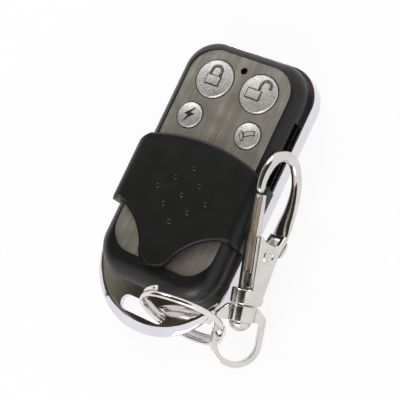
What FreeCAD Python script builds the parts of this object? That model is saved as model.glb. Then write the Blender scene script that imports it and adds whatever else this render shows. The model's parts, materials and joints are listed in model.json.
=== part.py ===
import FreeCAD, Part
import math
import os
import Sketcher

# Gate remote control: a chrome back tray with a key slot, a black front shell with a plate and
# four buttons, a cover that slides over them, a split ring and a swivel snap hook.
# Millimetres. The origin is the centre of the back face, +Z out of the face, +Y to the button end.

Vector = FreeCAD.Vector
Rotation = FreeCAD.Rotation
Placement = FreeCAD.Placement

DRIVING_SIZES = (
    # back shell
    ("tray_side_room", 3.05),
    ("tray_top", 34.8),
    ("tray_bottom", -34.1),
    ("tray_top_corner", 8.4),
    ("tray_end_flat", 0.3),
    ("seam_height", 5.0),
    ("tray_wall", 1.9),
    ("tray_floor", 0.7),
    ("tray_cavity_low", -23.3),
    ("tray_cavity_end_corner", 8.0),
    ("tray_bottom_fillet", 1.2),
    ("lip_thickness", 1.5),
    ("lip_start", -26.0),
    ("lip_crease_radius", 16.8),
    ("lip_crease_centre", -15.3),
    ("lip_slope_drop", 1.1),
    ("slot_centre", -29.05),
    ("slot_side_room", 10.95),
    ("slot_half_width", 1.75),
    ("slot_end_flat", 0.05),
    ("slot_edge_round", 0.8),
    # front shell
    ("shell_side_step", 1.25),
    ("shell_top_step", 0.7),
    ("shell_low", -24.7),
    ("shell_top_corner", 7.7),
    ("shell_low_corner", 8.2),
    ("shell_roll", 4.2),
    ("shell_wall", 2.1),
    ("shell_floor_thickness", 0.6),
    ("side_slot_height", 2.0),
    ("side_slot_depth", 1.0),
    ("side_slot_lift", 0.3),
    ("boss_radius", 2.2),
    # face plate
    ("plate_half_width", 13.25),
    ("plate_low", -19.0),
    ("plate_high", 31.8),
    ("plate_corner", 6.2),
    ("plate_thickness", 0.6),
    ("plate_sink", 0.6),
    ("plate_fit", 0.08),
    # buttons
    ("big_button_x", 5.93),
    ("big_button_y", 24.86),
    ("big_button_radius", 4.6),
    ("small_button_x", 7.8),
    ("small_button_y", 15.1),
    ("small_button_radius", 3.09),
    ("button_gap", 0.2),
    ("button_proud", 0.45),
    ("button_flange", 0.6),
    ("button_flange_thickness", 0.4),
    ("button_flange_drop", 0.1),
    ("button_edge", 0.25),
    ("button_stem_radius", 1.6),
    ("button_travel", 0.4),
    ("flange_gap", 0.3),
    ("plunger_radius", 0.8),
    ("plunger_fit", 0.07),
    ("plunger_in_switch", 0.6),
    ("plunger_out", 0.6),
    # circuit board and what it carries
    ("board_sink", 0.1),
    ("board_thickness", 1.0),
    ("board_clearance", 0.2),
    ("board_low", -8.5),
    ("switch_side", 5.2),
    ("switch_height", 1.7),
    ("light_y", 28.8),
    ("light_hole_radius", 0.84),
    ("light_well_radius", 1.3),
    ("light_radius", 1.45),
    ("light_height", 2.7),
    ("resonator_x", 5.2),
    ("resonator_y", 5.0),
    ("resonator_radius", 3.9),
    ("resonator_height", 2.2),
    ("resonator_flange", 0.5),
    ("chip_x", -5.6),
    ("chip_y", 5.3),
    ("chip_length", 8.6),
    ("chip_width", 3.9),
    ("chip_height", 1.5),
    ("chip_pin_pitch", 1.27),
    ("chip_pin_width", 0.4),
    ("chip_pin_reach", 1.0),
    ("transistor_x", 4.0),
    ("transistor_y", -4.5),
    ("transistor_length", 2.9),
    ("transistor_width", 1.3),
    ("transistor_height", 1.0),
    ("transistor_lead_x", 0.95),
    ("transistor_lead_width", 0.4),
    ("transistor_lead_reach", 2.4),
    ("transistor_lead_thickness", 0.3),
    ("chip_part_unit", 1.0),
    ("chip_part_length", 1.6),
    ("chip_part_width", 0.8),
    ("capacitor_height", 0.7),
    ("resistor_height", 0.45),
    ("antenna_edge_room", 0.6),
    ("antenna_low", -0.5),
    ("antenna_end_room", 0.5),
    ("antenna_track", 1.0),
    ("antenna_inset", 1.0),
    ("antenna_thickness", 0.15),
    ("antenna_gap", 3.0),
    # battery
    ("battery_radius", 4.0),
    ("battery_length", 28.0),
    ("battery_cap_radius", 2.2),
    ("battery_cap_length", 0.8),
    ("battery_y", -15.0),
    ("battery_clearance", 0.05),
    ("bay_wall", 1.4),
    ("bay_clearance", 0.4),
    ("contact_thickness", 0.3),
    ("contact_width", 6.0),
    ("contact_foot", 1.5),
    # screws
    ("screw_x", 10.5),
    ("screw_y", -4.0),
    ("screw_head_radius", 1.6),
    ("screw_head_height", 1.1),
    ("screw_head_sink", 0.1),
    ("screw_shank_radius", 0.8),
    ("screw_reach", 7.6),
    ("screw_fit", 0.05),
    ("screw_recess_gap", 0.15),
    ("pillar_radius", 2.3),
    # slide cover
    ("cover_lift", 0.2),
    ("cover_thickness", 0.8),
    ("cover_side_gap", 0.25),
    ("cover_side_lift", 0.15),
    ("cover_side_wall", 1.3),
    ("cover_crown", 10.4),
    ("cover_shoulder_x", 14.4),
    ("cover_shoulder_y", 8.0),
    ("cover_corner_y", 5.7),
    ("cover_side_low", -9.2),
    ("cover_hollow_x", 14.9),
    ("cover_hollow_y", -8.5),
    ("cover_tip_x", 4.6),
    ("cover_tip_y", -16.3),
    ("cover_tip_radius", 4.68),
    ("cover_hollow_radius", 15.5),
    ("cover_outer_roll", 3.4),
    ("cover_travel", 21.5),
    ("hook_run_low", -8.5),
    ("hook_run_high", 0.4),
    ("hook_gap", 0.2),
    ("dimple_radius", 0.55),
    ("dimple_depth", 0.25),
    ("dimple_spacing", 4.59),
    ("dimple_centre", -2.7),
    # split ring
    ("ring_wire", 0.5),
    ("ring_radius", 9.64),
    ("ring_pitch", 1.43),
    ("ring_end_gap", 14.0),
    ("ring_turn", -86.3),
    ("ring_lean", 73.55),
    ("ring_slot_inset", 1.2),
    ("ring_slot_shift", 0.0),
    ("ring_slot_drop", 1.25),
    ("ring_slot_angle", -49.3),
    ("ring_eye_angle", 73.05),
    ("ring_eye_inset", 1.72),
    ("ring_eye_lift", 1.47),
    ("ring_step_start", 101.0),
    # snap hook, in its own frame: x across, y along the hook, z through the cheeks
    ("clasp_unit", 1.0),
    ("hook_yaw", 35.688),
    ("hook_pitch", 59.491),
    ("hook_roll", 29.910),
    ("cheek_half_width", 2.7),
    ("cheek_thickness", 1.35),
    ("lever_side_gap", 0.12),
    ("pin_across", 0.6),
    ("pin_radius", 0.9),
    ("pin_head_radius", 1.6),
    ("pin_head_height", 0.3),
    ("pin_dimple_radius", 0.8),
    ("pin_dimple_depth", 0.24),
    ("lever_bore_gap", 0.05),
    ("base_top", -7.5),
    ("base_bottom", -10.9),
    ("swivel_across", -2.0),
    ("swivel_gap", 0.2),
    ("post_radius", 1.2),
    ("post_fit", 0.08),
    ("knob_radius", 2.4),
    ("knob_skirt", 0.6),
    ("knob_height", 2.3),
    ("base_radius", 2.95),
    ("spring_radius", 0.85),
    ("spring_bore", 0.45),
    ("spring_top", -2.5),
    ("spring_across", 0.4),
    # swivel eye, in its own frame: circle centre at its origin, x across, y away from the hook
    ("eye_radius", 5.6),
    ("eye_band", 1.3),
    ("eye_thickness", 1.6),
    ("eye_bar", 4.7),
    ("eye_boss_radius", 3.1),
    ("eye_boss_length", 3.5),
    ("eye_shoulder", 2.2),
    ("eye_turn", 25.4),
)


class Size(float):
    """A length that keeps the sheet formula it comes from, so that a feature can be bound to it."""

    def __new__(cls, number, formula):
        made = super().__new__(cls, number)
        made.formula = formula
        return made

    def __add__(self, other):
        return Size(float(self) + float(other), f"({self.formula} + {formula_of(other)})")

    def __radd__(self, other):
        return Size(float(other) + float(self), f"({formula_of(other)} + {self.formula})")

    def __sub__(self, other):
        return Size(float(self) - float(other), f"({self.formula} - {formula_of(other)})")

    def __rsub__(self, other):
        return Size(float(other) - float(self), f"({formula_of(other)} - {self.formula})")

    def __mul__(self, other):
        return Size(float(self) * float(other), f"({self.formula} * {formula_of(other)})")

    def __rmul__(self, other):
        return Size(float(other) * float(self), f"({formula_of(other)} * {self.formula})")

    def __truediv__(self, other):
        return Size(float(self) / float(other), f"({self.formula} / {formula_of(other)})")

    def __neg__(self):
        return Size(-float(self), f"(-{self.formula})")


def formula_of(value):
    return value.formula if isinstance(value, Size) else repr(float(value))


class Sizes:
    """The sheet's cells by name."""


def make_sheet(document):
    sheet = document.addObject("Spreadsheet::Sheet", "Sizes")
    sizes = Sizes()
    for row, (name, number) in enumerate(DRIVING_SIZES, start=1):
        sheet.set(f"A{row}", name)
        sheet.set(f"B{row}", str(number))
        sheet.setAlias(f"B{row}", name)
        setattr(sizes, name, Size(number, f"Sizes.{name}"))
    return sizes


document = FreeCAD.newDocument("GateRemote")
size = make_sheet(document)
size.tray_half_width = size.battery_length / 2 + size.tray_side_room
size.tray_end_round = size.tray_half_width - size.tray_end_flat
size.slot_half_length = size.tray_half_width - size.slot_side_room
size.cover_inner_roll = size.shell_roll + size.cover_lift
size.board_lift = size.seam_height - size.board_sink
document.recompute()


# Features and sketches bound to the sheet

def bind(feature, name, value):
    """Set a property and tie it to the sheet."""
    if isinstance(value, Size):
        feature.setExpression(name, value.formula)
    else:
        setattr(feature, name, value)


def place(feature, x=0.0, y=0.0, z=0.0):
    """Move a feature, each coordinate tied to the sheet."""
    feature.Placement = Placement(Vector(x, y, z), Rotation())
    for axis, value in zip("xyz", (x, y, z)):
        if isinstance(value, Size):
            feature.setExpression(f"Placement.Base.{axis}", value.formula)


def new_body(label):
    body = document.addObject("PartDesign::Body", label)
    body.Label = label
    return body


def new_sketch(body, name, role="XY_Plane", lift=0.0, shift=0.0):
    """A sketch on one of the body's own origin planes, lifted along its normal, shifted along its x."""
    sketch = body.newObject("Sketcher::SketchObject", name)
    plane = [feature for feature in body.Origin.OriginFeatures if feature.Role == role][0]
    sketch.AttachmentSupport = (plane, [""])
    sketch.MapMode = "FlatFace"
    sketch.AttachmentOffset = Placement(Vector(shift, 0.0, lift), Rotation())
    for axis, value in (("x", shift), ("z", lift)):
        if isinstance(value, Size):
            sketch.setExpression(f"AttachmentOffset.Base.{axis}", value.formula)
    return sketch


def constrain(sketch, value, *arguments):
    """A dimension of the sketch, tied to the sheet."""
    number = sketch.addConstraint(Sketcher.Constraint(*arguments, float(value)))
    if isinstance(value, Size):
        sketch.setExpression(f"Constraints[{number}]", value.formula)


def pin(sketch, element, end, x, y):
    """Hold one point of a sketch element at x, y."""
    constrain(sketch, x, "DistanceX", -1, 1, element, end)
    constrain(sketch, y, "DistanceY", -1, 1, element, end)


def add_circle(sketch, x, y, radius):
    circle = Part.Circle(Vector(x, y, 0), Vector(0, 0, 1), float(radius))
    element = sketch.addGeometry(circle, False)
    pin(sketch, element, 3, x, y)
    constrain(sketch, radius, "Radius", element)


def arc_between(start, end, radius):
    """A counter-clockwise arc under half a turn."""
    chord = end - start
    across = Vector(-chord.y, chord.x, 0)
    rise = math.sqrt(float(radius) ** 2 - (chord.Length / 2) ** 2)
    centre = start + chord * 0.5 + across * (rise / chord.Length)
    first = math.atan2(start.y - centre.y, start.x - centre.x)
    last = math.atan2(end.y - centre.y, end.x - centre.x)
    if last < first:
        last += 2 * math.pi
    return Part.ArcOfCircle(Part.Circle(centre, Vector(0, 0, 1), float(radius)), first, last)


def add_loop(sketch, corners):
    """A closed counter-clockwise loop of pinned corners.

    A corner is (x, y), or (x, y, radius) where an arc leads on to the next corner:
    a positive radius bulges outwards, a negative one inwards.
    """
    ends = []
    for index, corner in enumerate(corners):
        following = corners[(index + 1) % len(corners)]
        start = Vector(corner[0], corner[1], 0)
        end = Vector(following[0], following[1], 0)
        if len(corner) == 2:
            element = sketch.addGeometry(Part.LineSegment(start, end), False)
            ends.append((element, 1, 2))
        elif corner[2] > 0:
            element = sketch.addGeometry(arc_between(start, end, corner[2]), False)
            constrain(sketch, corner[2], "Radius", element)
            ends.append((element, 1, 2))
        else:
            element = sketch.addGeometry(arc_between(end, start, -corner[2]), False)
            constrain(sketch, -corner[2], "Radius", element)
            ends.append((element, 2, 1))
    for index, corner in enumerate(corners):
        before = ends[index - 1]
        after = ends[index]
        sketch.addConstraint(Sketcher.Constraint("Coincident", before[0], before[2], after[0], after[1]))
        pin(sketch, after[0], after[1], corner[0], corner[1])


def add_box(sketch, left, right, low, high):
    add_loop(sketch, [(left, low), (right, low), (right, high), (left, high)])


def add_rounded_box(sketch, left, right, low, high, low_corner, high_corner):
    """A rectangle with its two lower and two upper corners rounded."""
    add_loop(sketch, [
        (left + low_corner, low),
        (right - low_corner, low, low_corner),
        (right, low + low_corner),
        (right, high - high_corner, high_corner),
        (right - high_corner, high),
        (left + high_corner, high, high_corner),
        (left, high - high_corner),
        (left, low + low_corner, low_corner),
    ])


def pad(body, sketch, name, length, symmetric=False):
    feature = body.newObject("PartDesign::Pad", name)
    feature.Profile = sketch
    bind(feature, "Length", length)
    if symmetric:
        feature.SideType = "Symmetric"
    document.recompute()
    return feature


def pocket(body, sketch, name, length, upwards=False, symmetric=False):
    """Cut a sketch out of the body, and make sure that it took something away."""
    before = body.Shape.Volume
    feature = body.newObject("PartDesign::Pocket", name)
    feature.Profile = sketch
    bind(feature, "Length", length)
    feature.Reversed = upwards
    if symmetric:
        feature.SideType = "Symmetric"
    document.recompute()
    if body.Shape.Volume >= before:
        raise RuntimeError(name + " cuts nothing")
    return feature


def revolve(body, sketch, name):
    """Turn a sketch once round its own vertical axis."""
    feature = body.newObject("PartDesign::Revolution", name)
    feature.Profile = sketch
    feature.ReferenceAxis = (sketch, ["V_Axis"])
    feature.Angle = 360
    document.recompute()
    return feature


def fillet_at_height(body, base, name, height, radius, half_width, low, high):
    """Round the edges of a feature that lie flat at one height and inside one rectangle."""
    edges = []
    for number, edge in enumerate(base.Shape.Edges, start=1):
        box = edge.BoundBox
        flat = abs(box.ZMin - height) < 0.001 and abs(box.ZMax - height) < 0.001
        if flat and max(-box.XMin, box.XMax) < half_width and low < box.YMin and box.YMax < high:
            edges.append(f"Edge{number}")
    feature = body.newObject("PartDesign::Fillet", name)
    feature.Base = (base, edges)
    bind(feature, "Radius", radius)
    document.recompute()
    return feature


def block(name, left, right, low, high, bottom, top):
    """A box between two corners."""
    feature = document.addObject("Part::Box", name)
    bind(feature, "Length", right - left)
    bind(feature, "Width", high - low)
    bind(feature, "Height", top - bottom)
    place(feature, left, low, bottom)
    return feature


def rod(name, x, y, bottom, radius, height):
    """An upright cylinder."""
    feature = document.addObject("Part::Cylinder", name)
    bind(feature, "Radius", radius)
    bind(feature, "Height", height)
    place(feature, x, y, bottom)
    return feature


def lying_rod(name, left, y, z, radius, length):
    """A cylinder that lies along X."""
    feature = rod(name, left, y, z, radius, length)
    feature.Placement = Placement(Vector(left, y, z), Rotation(Vector(0, 1, 0), 90))
    for axis, value in (("x", left), ("y", y), ("z", z)):
        if isinstance(value, Size):
            feature.setExpression(f"Placement.Base.{axis}", value.formula)
    return feature


def cut(name, base, tool):
    feature = document.addObject("Part::Cut", name)
    feature.Base = base
    feature.Tool = tool
    return feature


def join(name, features):
    feature = document.addObject("Part::MultiFuse", name)
    feature.Shapes = features
    return feature


def group(name, features):
    """Separate like pieces that share one name."""
    feature = document.addObject("Part::Compound", name)
    feature.Links = features
    return feature


def solid(name, shape):
    """A piece whose shape comes from a formula."""
    feature = document.addObject("Part::Feature", name)
    feature.Shape = shape
    return feature


# Heights and widths that several pieces share

shell_half_width = size.tray_half_width - size.shell_side_step
shell_top = size.tray_top - size.shell_top_step
battery_z = size.tray_floor + size.battery_clearance + size.battery_radius
ceiling = battery_z + size.battery_radius + size.battery_clearance
plate_bottom = ceiling + size.shell_floor_thickness
plate_top = plate_bottom + size.plate_thickness
rim_height = plate_top + size.plate_sink
board_top = size.board_lift + size.board_thickness
board_half_width = shell_half_width - size.shell_wall - size.board_clearance
switch_top = board_top + size.switch_height
stem_bottom = switch_top + size.plunger_out
flange_top = plate_bottom - size.button_flange_drop
flange_bottom = flange_top - size.button_flange_thickness
button_top = plate_top + size.button_proud
side_slot_floor = size.seam_height + size.side_slot_lift
side_slot_x = shell_half_width - size.side_slot_depth
cover_bottom = size.seam_height + size.cover_side_lift
cover_underside = rim_height + size.cover_lift
cover_top = cover_underside + size.cover_thickness
cover_inner_x = shell_half_width + size.cover_side_gap
cover_outer_x = cover_inner_x + size.cover_side_wall

BIG_RADIUS = size.big_button_radius
SMALL_RADIUS = size.small_button_radius
BUTTONS = (
    ("lock", -size.big_button_x, size.big_button_y, BIG_RADIUS),
    ("unlock", size.big_button_x, size.big_button_y, BIG_RADIUS),
    ("bolt", -size.small_button_x, size.small_button_y, SMALL_RADIUS),
    ("horn", size.small_button_x, size.small_button_y, SMALL_RADIUS),
)


# Case

def back_shell():
    body = new_body("back_shell")
    outline = new_sketch(body, "TrayOutline")
    add_rounded_box(outline, -size.tray_half_width, size.tray_half_width,
                    size.tray_bottom, size.tray_top, size.tray_end_round, size.tray_top_corner)
    blank = pad(body, outline, "TrayBlank", size.seam_height)
    beyond = 2 * size.tray_top
    fillet_at_height(body, blank, "TrayBackEdge", 0.0, size.tray_bottom_fillet, beyond, -beyond, beyond)

    slope = new_sketch(body, "LipSlope", "YZ_Plane", shift=size.lip_crease_centre)
    reach = size.lip_crease_centre - size.tray_bottom
    run = reach - size.lip_crease_radius
    add_loop(slope, [
        (-(reach + run), size.seam_height - 2 * size.lip_slope_drop),
        (-size.lip_crease_radius, size.seam_height),
        (-size.lip_crease_radius, size.seam_height + size.lip_slope_drop),
        (-(reach + run), size.seam_height + size.lip_slope_drop),
    ])
    before = body.Shape.Volume
    groove = body.newObject("PartDesign::Groove", "LipBevel")
    groove.Profile = slope
    groove.ReferenceAxis = (slope, ["V_Axis"])
    groove.Angle = 180
    groove.Midplane = True
    document.recompute()
    if body.Shape.Volume >= before:
        raise RuntimeError("LipBevel cuts nothing")

    relief = new_sketch(body, "LipRelief")
    add_box(relief, -(size.tray_half_width + size.tray_wall), size.tray_half_width + size.tray_wall,
            size.tray_bottom - size.tray_wall, size.lip_start)
    pocket(body, relief, "LipUnderside", size.seam_height - size.lip_thickness, upwards=True)

    slot = new_sketch(body, "SlotOutline")
    add_rounded_box(slot, -size.slot_half_length, size.slot_half_length,
                    size.slot_centre - size.slot_half_width, size.slot_centre + size.slot_half_width,
                    size.slot_half_width - size.slot_end_flat, size.slot_half_width - size.slot_end_flat)
    key_slot = pocket(body, slot, "KeySlot", size.seam_height, upwards=True)
    underside = size.seam_height - size.lip_thickness
    slot_reach = size.slot_half_width + size.slot_edge_round
    fillet_at_height(body, key_slot, "SlotUnderEdge", underside, size.slot_edge_round,
                     size.slot_half_length + size.slot_edge_round,
                     size.slot_centre - slot_reach, size.slot_centre + slot_reach)

    hollow = new_sketch(body, "TrayHollow", lift=size.tray_floor)
    inner_x = size.tray_half_width - size.tray_wall
    add_rounded_box(hollow, -inner_x, inner_x, size.tray_cavity_low, size.tray_top - size.tray_wall,
                    size.tray_cavity_end_corner, size.tray_top_corner - size.tray_wall)
    pocket(body, hollow, "TrayCavity", size.seam_height, upwards=True)

    pillars = new_sketch(body, "PillarOutlines", lift=size.tray_floor)
    holes = new_sketch(body, "ScrewHoles")
    recesses = new_sketch(body, "ScrewRecesses")
    for x in (-size.screw_x, size.screw_x):
        add_circle(pillars, x, size.screw_y, size.pillar_radius)
        add_circle(holes, x, size.screw_y, size.screw_shank_radius + size.screw_recess_gap)
        add_circle(recesses, x, size.screw_y, size.screw_head_radius + size.screw_recess_gap)
    pad(body, pillars, "Pillars", size.board_lift - size.tray_floor)
    pocket(body, holes, "ScrewBores", size.board_lift, upwards=True)
    pocket(body, recesses, "ScrewSeats", size.screw_head_sink + size.screw_head_height, upwards=True)
    return body


def front_shell():
    body = new_body("front_shell")
    outline = new_sketch(body, "ShellOutline", lift=size.seam_height)
    add_rounded_box(outline, -shell_half_width, shell_half_width, size.shell_low, shell_top,
                    size.shell_low_corner, size.shell_top_corner)
    blank = pad(body, outline, "ShellBlank", rim_height - size.seam_height)
    beyond = 2 * size.tray_top
    fillet_at_height(body, blank, "ShellRoll", rim_height, size.shell_roll, beyond, -beyond, beyond)

    recess = new_sketch(body, "PlateRecess", lift=plate_bottom)
    add_rounded_box(recess, -(size.plate_half_width + size.plate_fit), size.plate_half_width + size.plate_fit,
                    size.plate_low - size.plate_fit, size.plate_high + size.plate_fit,
                    size.plate_corner + size.plate_fit, size.plate_corner + size.plate_fit)
    pocket(body, recess, "PlateSeat", rim_height - plate_bottom, upwards=True)

    hollow = new_sketch(body, "ShellHollow", lift=size.seam_height)
    inner_x = shell_half_width - size.shell_wall
    add_rounded_box(hollow, -inner_x, inner_x, size.shell_low + size.shell_wall, shell_top - size.shell_wall,
                    size.shell_low_corner - size.shell_wall, size.shell_top_corner - size.shell_wall)
    pocket(body, hollow, "ShellCavity", ceiling - size.seam_height, upwards=True)

    bay = new_sketch(body, "BatteryBay", lift=size.seam_height)
    bay_x = shell_half_width - size.bay_wall
    bay_y = size.battery_radius + size.bay_clearance
    add_box(bay, -bay_x, bay_x, size.battery_y - bay_y, size.battery_y + bay_y)
    pocket(body, bay, "BatteryRoom", ceiling - size.seam_height, upwards=True)

    slots = new_sketch(body, "SideSlots", lift=side_slot_floor)
    slot_low = size.hook_run_low - size.hook_gap
    slot_high = size.hook_run_high + size.cover_travel + size.hook_gap
    outside = size.tray_half_width
    add_box(slots, side_slot_x, outside, slot_low, slot_high)
    add_box(slots, -outside, -side_slot_x, slot_low, slot_high)
    pocket(body, slots, "CoverRails", size.side_slot_height, upwards=True)

    bosses = new_sketch(body, "BossOutlines", lift=board_top)
    pilots = new_sketch(body, "PilotHoles", lift=board_top)
    for x in (-size.screw_x, size.screw_x):
        add_circle(bosses, x, size.screw_y, size.boss_radius)
        add_circle(pilots, x, size.screw_y, size.screw_shank_radius + size.screw_fit)
    pad(body, bosses, "Bosses", ceiling - board_top)
    pocket(body, pilots, "Pilots", size.screw_reach + size.screw_recess_gap - board_top, upwards=True)

    wells = new_sketch(body, "ButtonWells", lift=plate_bottom)
    for _, x, y, radius in BUTTONS:
        add_circle(wells, x, y, radius + size.button_flange + size.flange_gap)
    add_circle(wells, 0.0, size.light_y, size.light_well_radius)
    pocket(body, wells, "Wells", size.shell_floor_thickness)
    return body


def face_plate():
    body = new_body("face_plate")
    outline = new_sketch(body, "PlateOutline", lift=plate_bottom)
    add_rounded_box(outline, -size.plate_half_width, size.plate_half_width, size.plate_low, size.plate_high,
                    size.plate_corner, size.plate_corner)
    for _, x, y, radius in BUTTONS:
        add_circle(outline, x, y, radius + size.button_gap)
    add_circle(outline, 0.0, size.light_y, size.light_hole_radius)
    pad(body, outline, "Plate", size.plate_thickness)
    return body


def button(name, x, y, radius):
    body = new_body(name + "_button")
    flange = radius + size.button_flange
    profile = new_sketch(body, "CapProfile", "XZ_Plane")
    add_loop(profile, [
        (0.0, stem_bottom),
        (size.button_stem_radius, stem_bottom),
        (size.button_stem_radius, flange_bottom),
        (flange, flange_bottom),
        (flange, flange_top),
        (radius, flange_top),
        (radius, button_top - size.button_edge),
        (radius - size.button_edge, button_top),
        (0.0, button_top),
    ])
    revolve(body, profile, "Cap")
    place(body, x, y)
    return body


def plunger(name, x, y):
    bottom = switch_top - size.plunger_in_switch
    return rod(name + "_plunger", x, y, bottom, size.plunger_radius, stem_bottom - bottom)


# Electronics

def circuit_board():
    body = new_body("circuit_board")
    outline = new_sketch(body, "BoardOutline", lift=size.board_lift)
    corner = size.shell_top_corner - size.shell_wall - size.board_clearance
    add_rounded_box(outline, -board_half_width, board_half_width, size.board_low,
                    shell_top - size.shell_wall - size.board_clearance, size.bay_clearance, corner)
    for x in (-size.screw_x, size.screw_x):
        add_circle(outline, x, size.screw_y, size.screw_shank_radius + size.screw_recess_gap)
    pad(body, outline, "Board", size.board_thickness)
    return body


def tact_switches():
    switches = []
    half = size.switch_side / 2
    floor = switch_top - size.plunger_in_switch - size.button_travel - size.button_flange_drop
    for name, x, y, _ in BUTTONS:
        case = block(name + "_switch_case", x - half, x + half, y - half, y + half, board_top, switch_top)
        bore = rod(name + "_switch_bore", x, y, floor, size.plunger_radius + size.plunger_fit,
                   size.switch_height)
        switches.append(cut(name + "_switch", case, bore))
    return group("tact_switches", switches)


def status_led():
    body = new_body("status_led")
    profile = new_sketch(body, "LedProfile", "XZ_Plane")
    top = board_top + size.light_height
    add_loop(profile, [
        (0.0, board_top),
        (size.light_radius, board_top),
        (size.light_radius, top - size.light_radius, size.light_radius),
        (0.0, top),
    ])
    revolve(body, profile, "Led")
    place(body, 0.0, size.light_y)
    return body


def saw_resonator():
    body = new_body("saw_resonator")
    profile = new_sketch(body, "CanProfile", "XZ_Plane")
    brim = size.resonator_radius + size.resonator_flange
    add_loop(profile, [
        (0.0, board_top),
        (brim, board_top),
        (brim, board_top + size.resonator_flange),
        (size.resonator_radius, board_top + size.resonator_flange),
        (size.resonator_radius, board_top + size.resonator_height),
        (0.0, board_top + size.resonator_height),
    ])
    revolve(body, profile, "Can")
    place(body, size.resonator_x, size.resonator_y)
    return body


def encoder_chip():
    half_length = size.chip_length / 2
    half_width = size.chip_width / 2
    lead = size.chip_pin_width
    parts = [block("chip_case", size.chip_x - half_width, size.chip_x + half_width,
                   size.chip_y - half_length, size.chip_y + half_length,
                   board_top + lead / 4, board_top + size.chip_height)]
    count = int(size.chip_length / size.chip_pin_pitch)
    for index in range(count):
        y = size.chip_y + (index - (count - 1) / 2) * size.chip_pin_pitch
        parts.append(block(f"chip_lead_{index + 1}", size.chip_x - half_width - size.chip_pin_reach,
                           size.chip_x + half_width + size.chip_pin_reach,
                           y - lead / 2, y + lead / 2, board_top, board_top + lead))
    return join("encoder_chip", parts)


def small_part(name, x, y, length, width, height):
    """A chip component, its middle at x, y on the board."""
    return block(name, x - length / 2, x + length / 2, y - width / 2, y + width / 2,
                 board_top, board_top + height)


def rf_transistor():
    x, y = size.transistor_x, size.transistor_y
    parts = [small_part("transistor_case", x, y, size.transistor_length, size.transistor_width,
                        size.transistor_height)]
    for name, lead_x in (("base", x - size.transistor_lead_x), ("emitter", x + size.transistor_lead_x)):
        parts.append(small_part("transistor_" + name, lead_x, y, size.transistor_lead_width,
                                size.transistor_lead_reach, size.transistor_lead_thickness))
    return join("rf_transistor", parts)


def loop_antenna():
    """A printed loop, open at its lower side."""
    body = new_body("loop_antenna")
    outline = new_sketch(body, "LoopTrack", lift=board_top)
    outer_corner = size.shell_top_corner - size.shell_wall - size.antenna_inset
    inner_corner = outer_corner - size.antenna_track
    outer_x = board_half_width - size.antenna_edge_room
    inner_x = outer_x - size.antenna_track
    high = shell_top - size.shell_wall - size.antenna_end_room
    add_rounded_box(outline, -outer_x, outer_x, size.antenna_low, high, outer_corner, outer_corner)
    add_rounded_box(outline, -inner_x, inner_x, size.antenna_low + size.antenna_track,
                    high - size.antenna_track, inner_corner, inner_corner)
    pad(body, outline, "Loop", size.antenna_thickness)
    gap = new_sketch(body, "LoopGap", lift=board_top)
    add_box(gap, -size.antenna_gap / 2, size.antenna_gap / 2, size.antenna_low - size.antenna_track,
            size.antenna_low + 2 * size.antenna_track)
    pocket(body, gap, "LoopOpening", size.antenna_thickness, upwards=True)
    return body


# Middles of the chip parts, in units of the sheet's chip_part_unit
CHIP_CAPACITOR_PLACES = ((-0.6, 2.0), (-0.6, 5.0), (-0.6, 8.0), (8.6, -1.2))
CHIP_RESISTOR_PLACES = ((0.0, 18.5), (0.0, 15.5), (0.0, 12.5), (-4.0, -2.8), (-4.0, -5.2))


def chip_row(label, part, places, height):
    """Like chip parts at their places on the board, under one name."""
    parts = [small_part(f"{part}_{number}", x * size.chip_part_unit, y * size.chip_part_unit,
                        size.chip_part_length, size.chip_part_width, height)
             for number, (x, y) in enumerate(places, start=1)]
    return group(label, parts)


def chip_capacitors():
    return chip_row("chip_capacitors", "capacitor", CHIP_CAPACITOR_PLACES, size.capacitor_height)


def chip_resistors():
    return chip_row("chip_resistors", "resistor", CHIP_RESISTOR_PLACES, size.resistor_height)


# Battery, contacts and screws

def battery_can():
    return lying_rod("battery_can", -size.battery_length / 2, size.battery_y, battery_z,
                     size.battery_radius, size.battery_length - size.battery_cap_length)


def battery_cap():
    return lying_rod("battery_cap", size.battery_length / 2 - size.battery_cap_length, size.battery_y,
                     battery_z, size.battery_cap_radius, size.battery_cap_length)


def contact(label, side):
    """A strip against the battery's end, its leg led to the board and its foot soldered under it."""
    near = size.battery_length / 2
    far = near + size.contact_thickness
    leg_bottom = size.board_lift - size.contact_foot
    foot_y = size.board_low + size.contact_foot

    def strip(name, inner, outer, low, high, bottom, top):
        if side > 0:
            return block(name, inner, outer, low, high, bottom, top)
        return block(name, -outer, -inner, low, high, bottom, top)

    plate = strip(label + "_plate", near, far, size.battery_y - size.contact_width / 2,
                  size.battery_y + size.contact_width / 2, battery_z - size.contact_width / 2,
                  battery_z + size.contact_width / 2)
    leg = strip(label + "_leg", near, far, size.battery_y, foot_y, leg_bottom, size.board_lift)
    foot = strip(label + "_foot", near - size.contact_foot, far, size.board_low, foot_y,
                 size.board_lift - size.contact_thickness, size.board_lift)
    return join(label, [plate, leg, foot])


def case_screws():
    screws = []
    for side, x in (("left", -size.screw_x), ("right", size.screw_x)):
        body = new_body(side + "_screw")
        profile = new_sketch(body, "ScrewProfile", "XZ_Plane")
        seat = size.screw_head_sink + size.screw_head_height
        add_loop(profile, [
            (0.0, size.screw_head_sink),
            (size.screw_head_radius, size.screw_head_sink),
            (size.screw_head_radius, seat),
            (size.screw_shank_radius, seat),
            (size.screw_shank_radius, size.screw_reach),
            (0.0, size.screw_reach),
        ])
        revolve(body, profile, "Screw")
        place(body, x, size.screw_y)
        screws.append(body)
    return group("case_screws", screws)


# Slide cover

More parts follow.
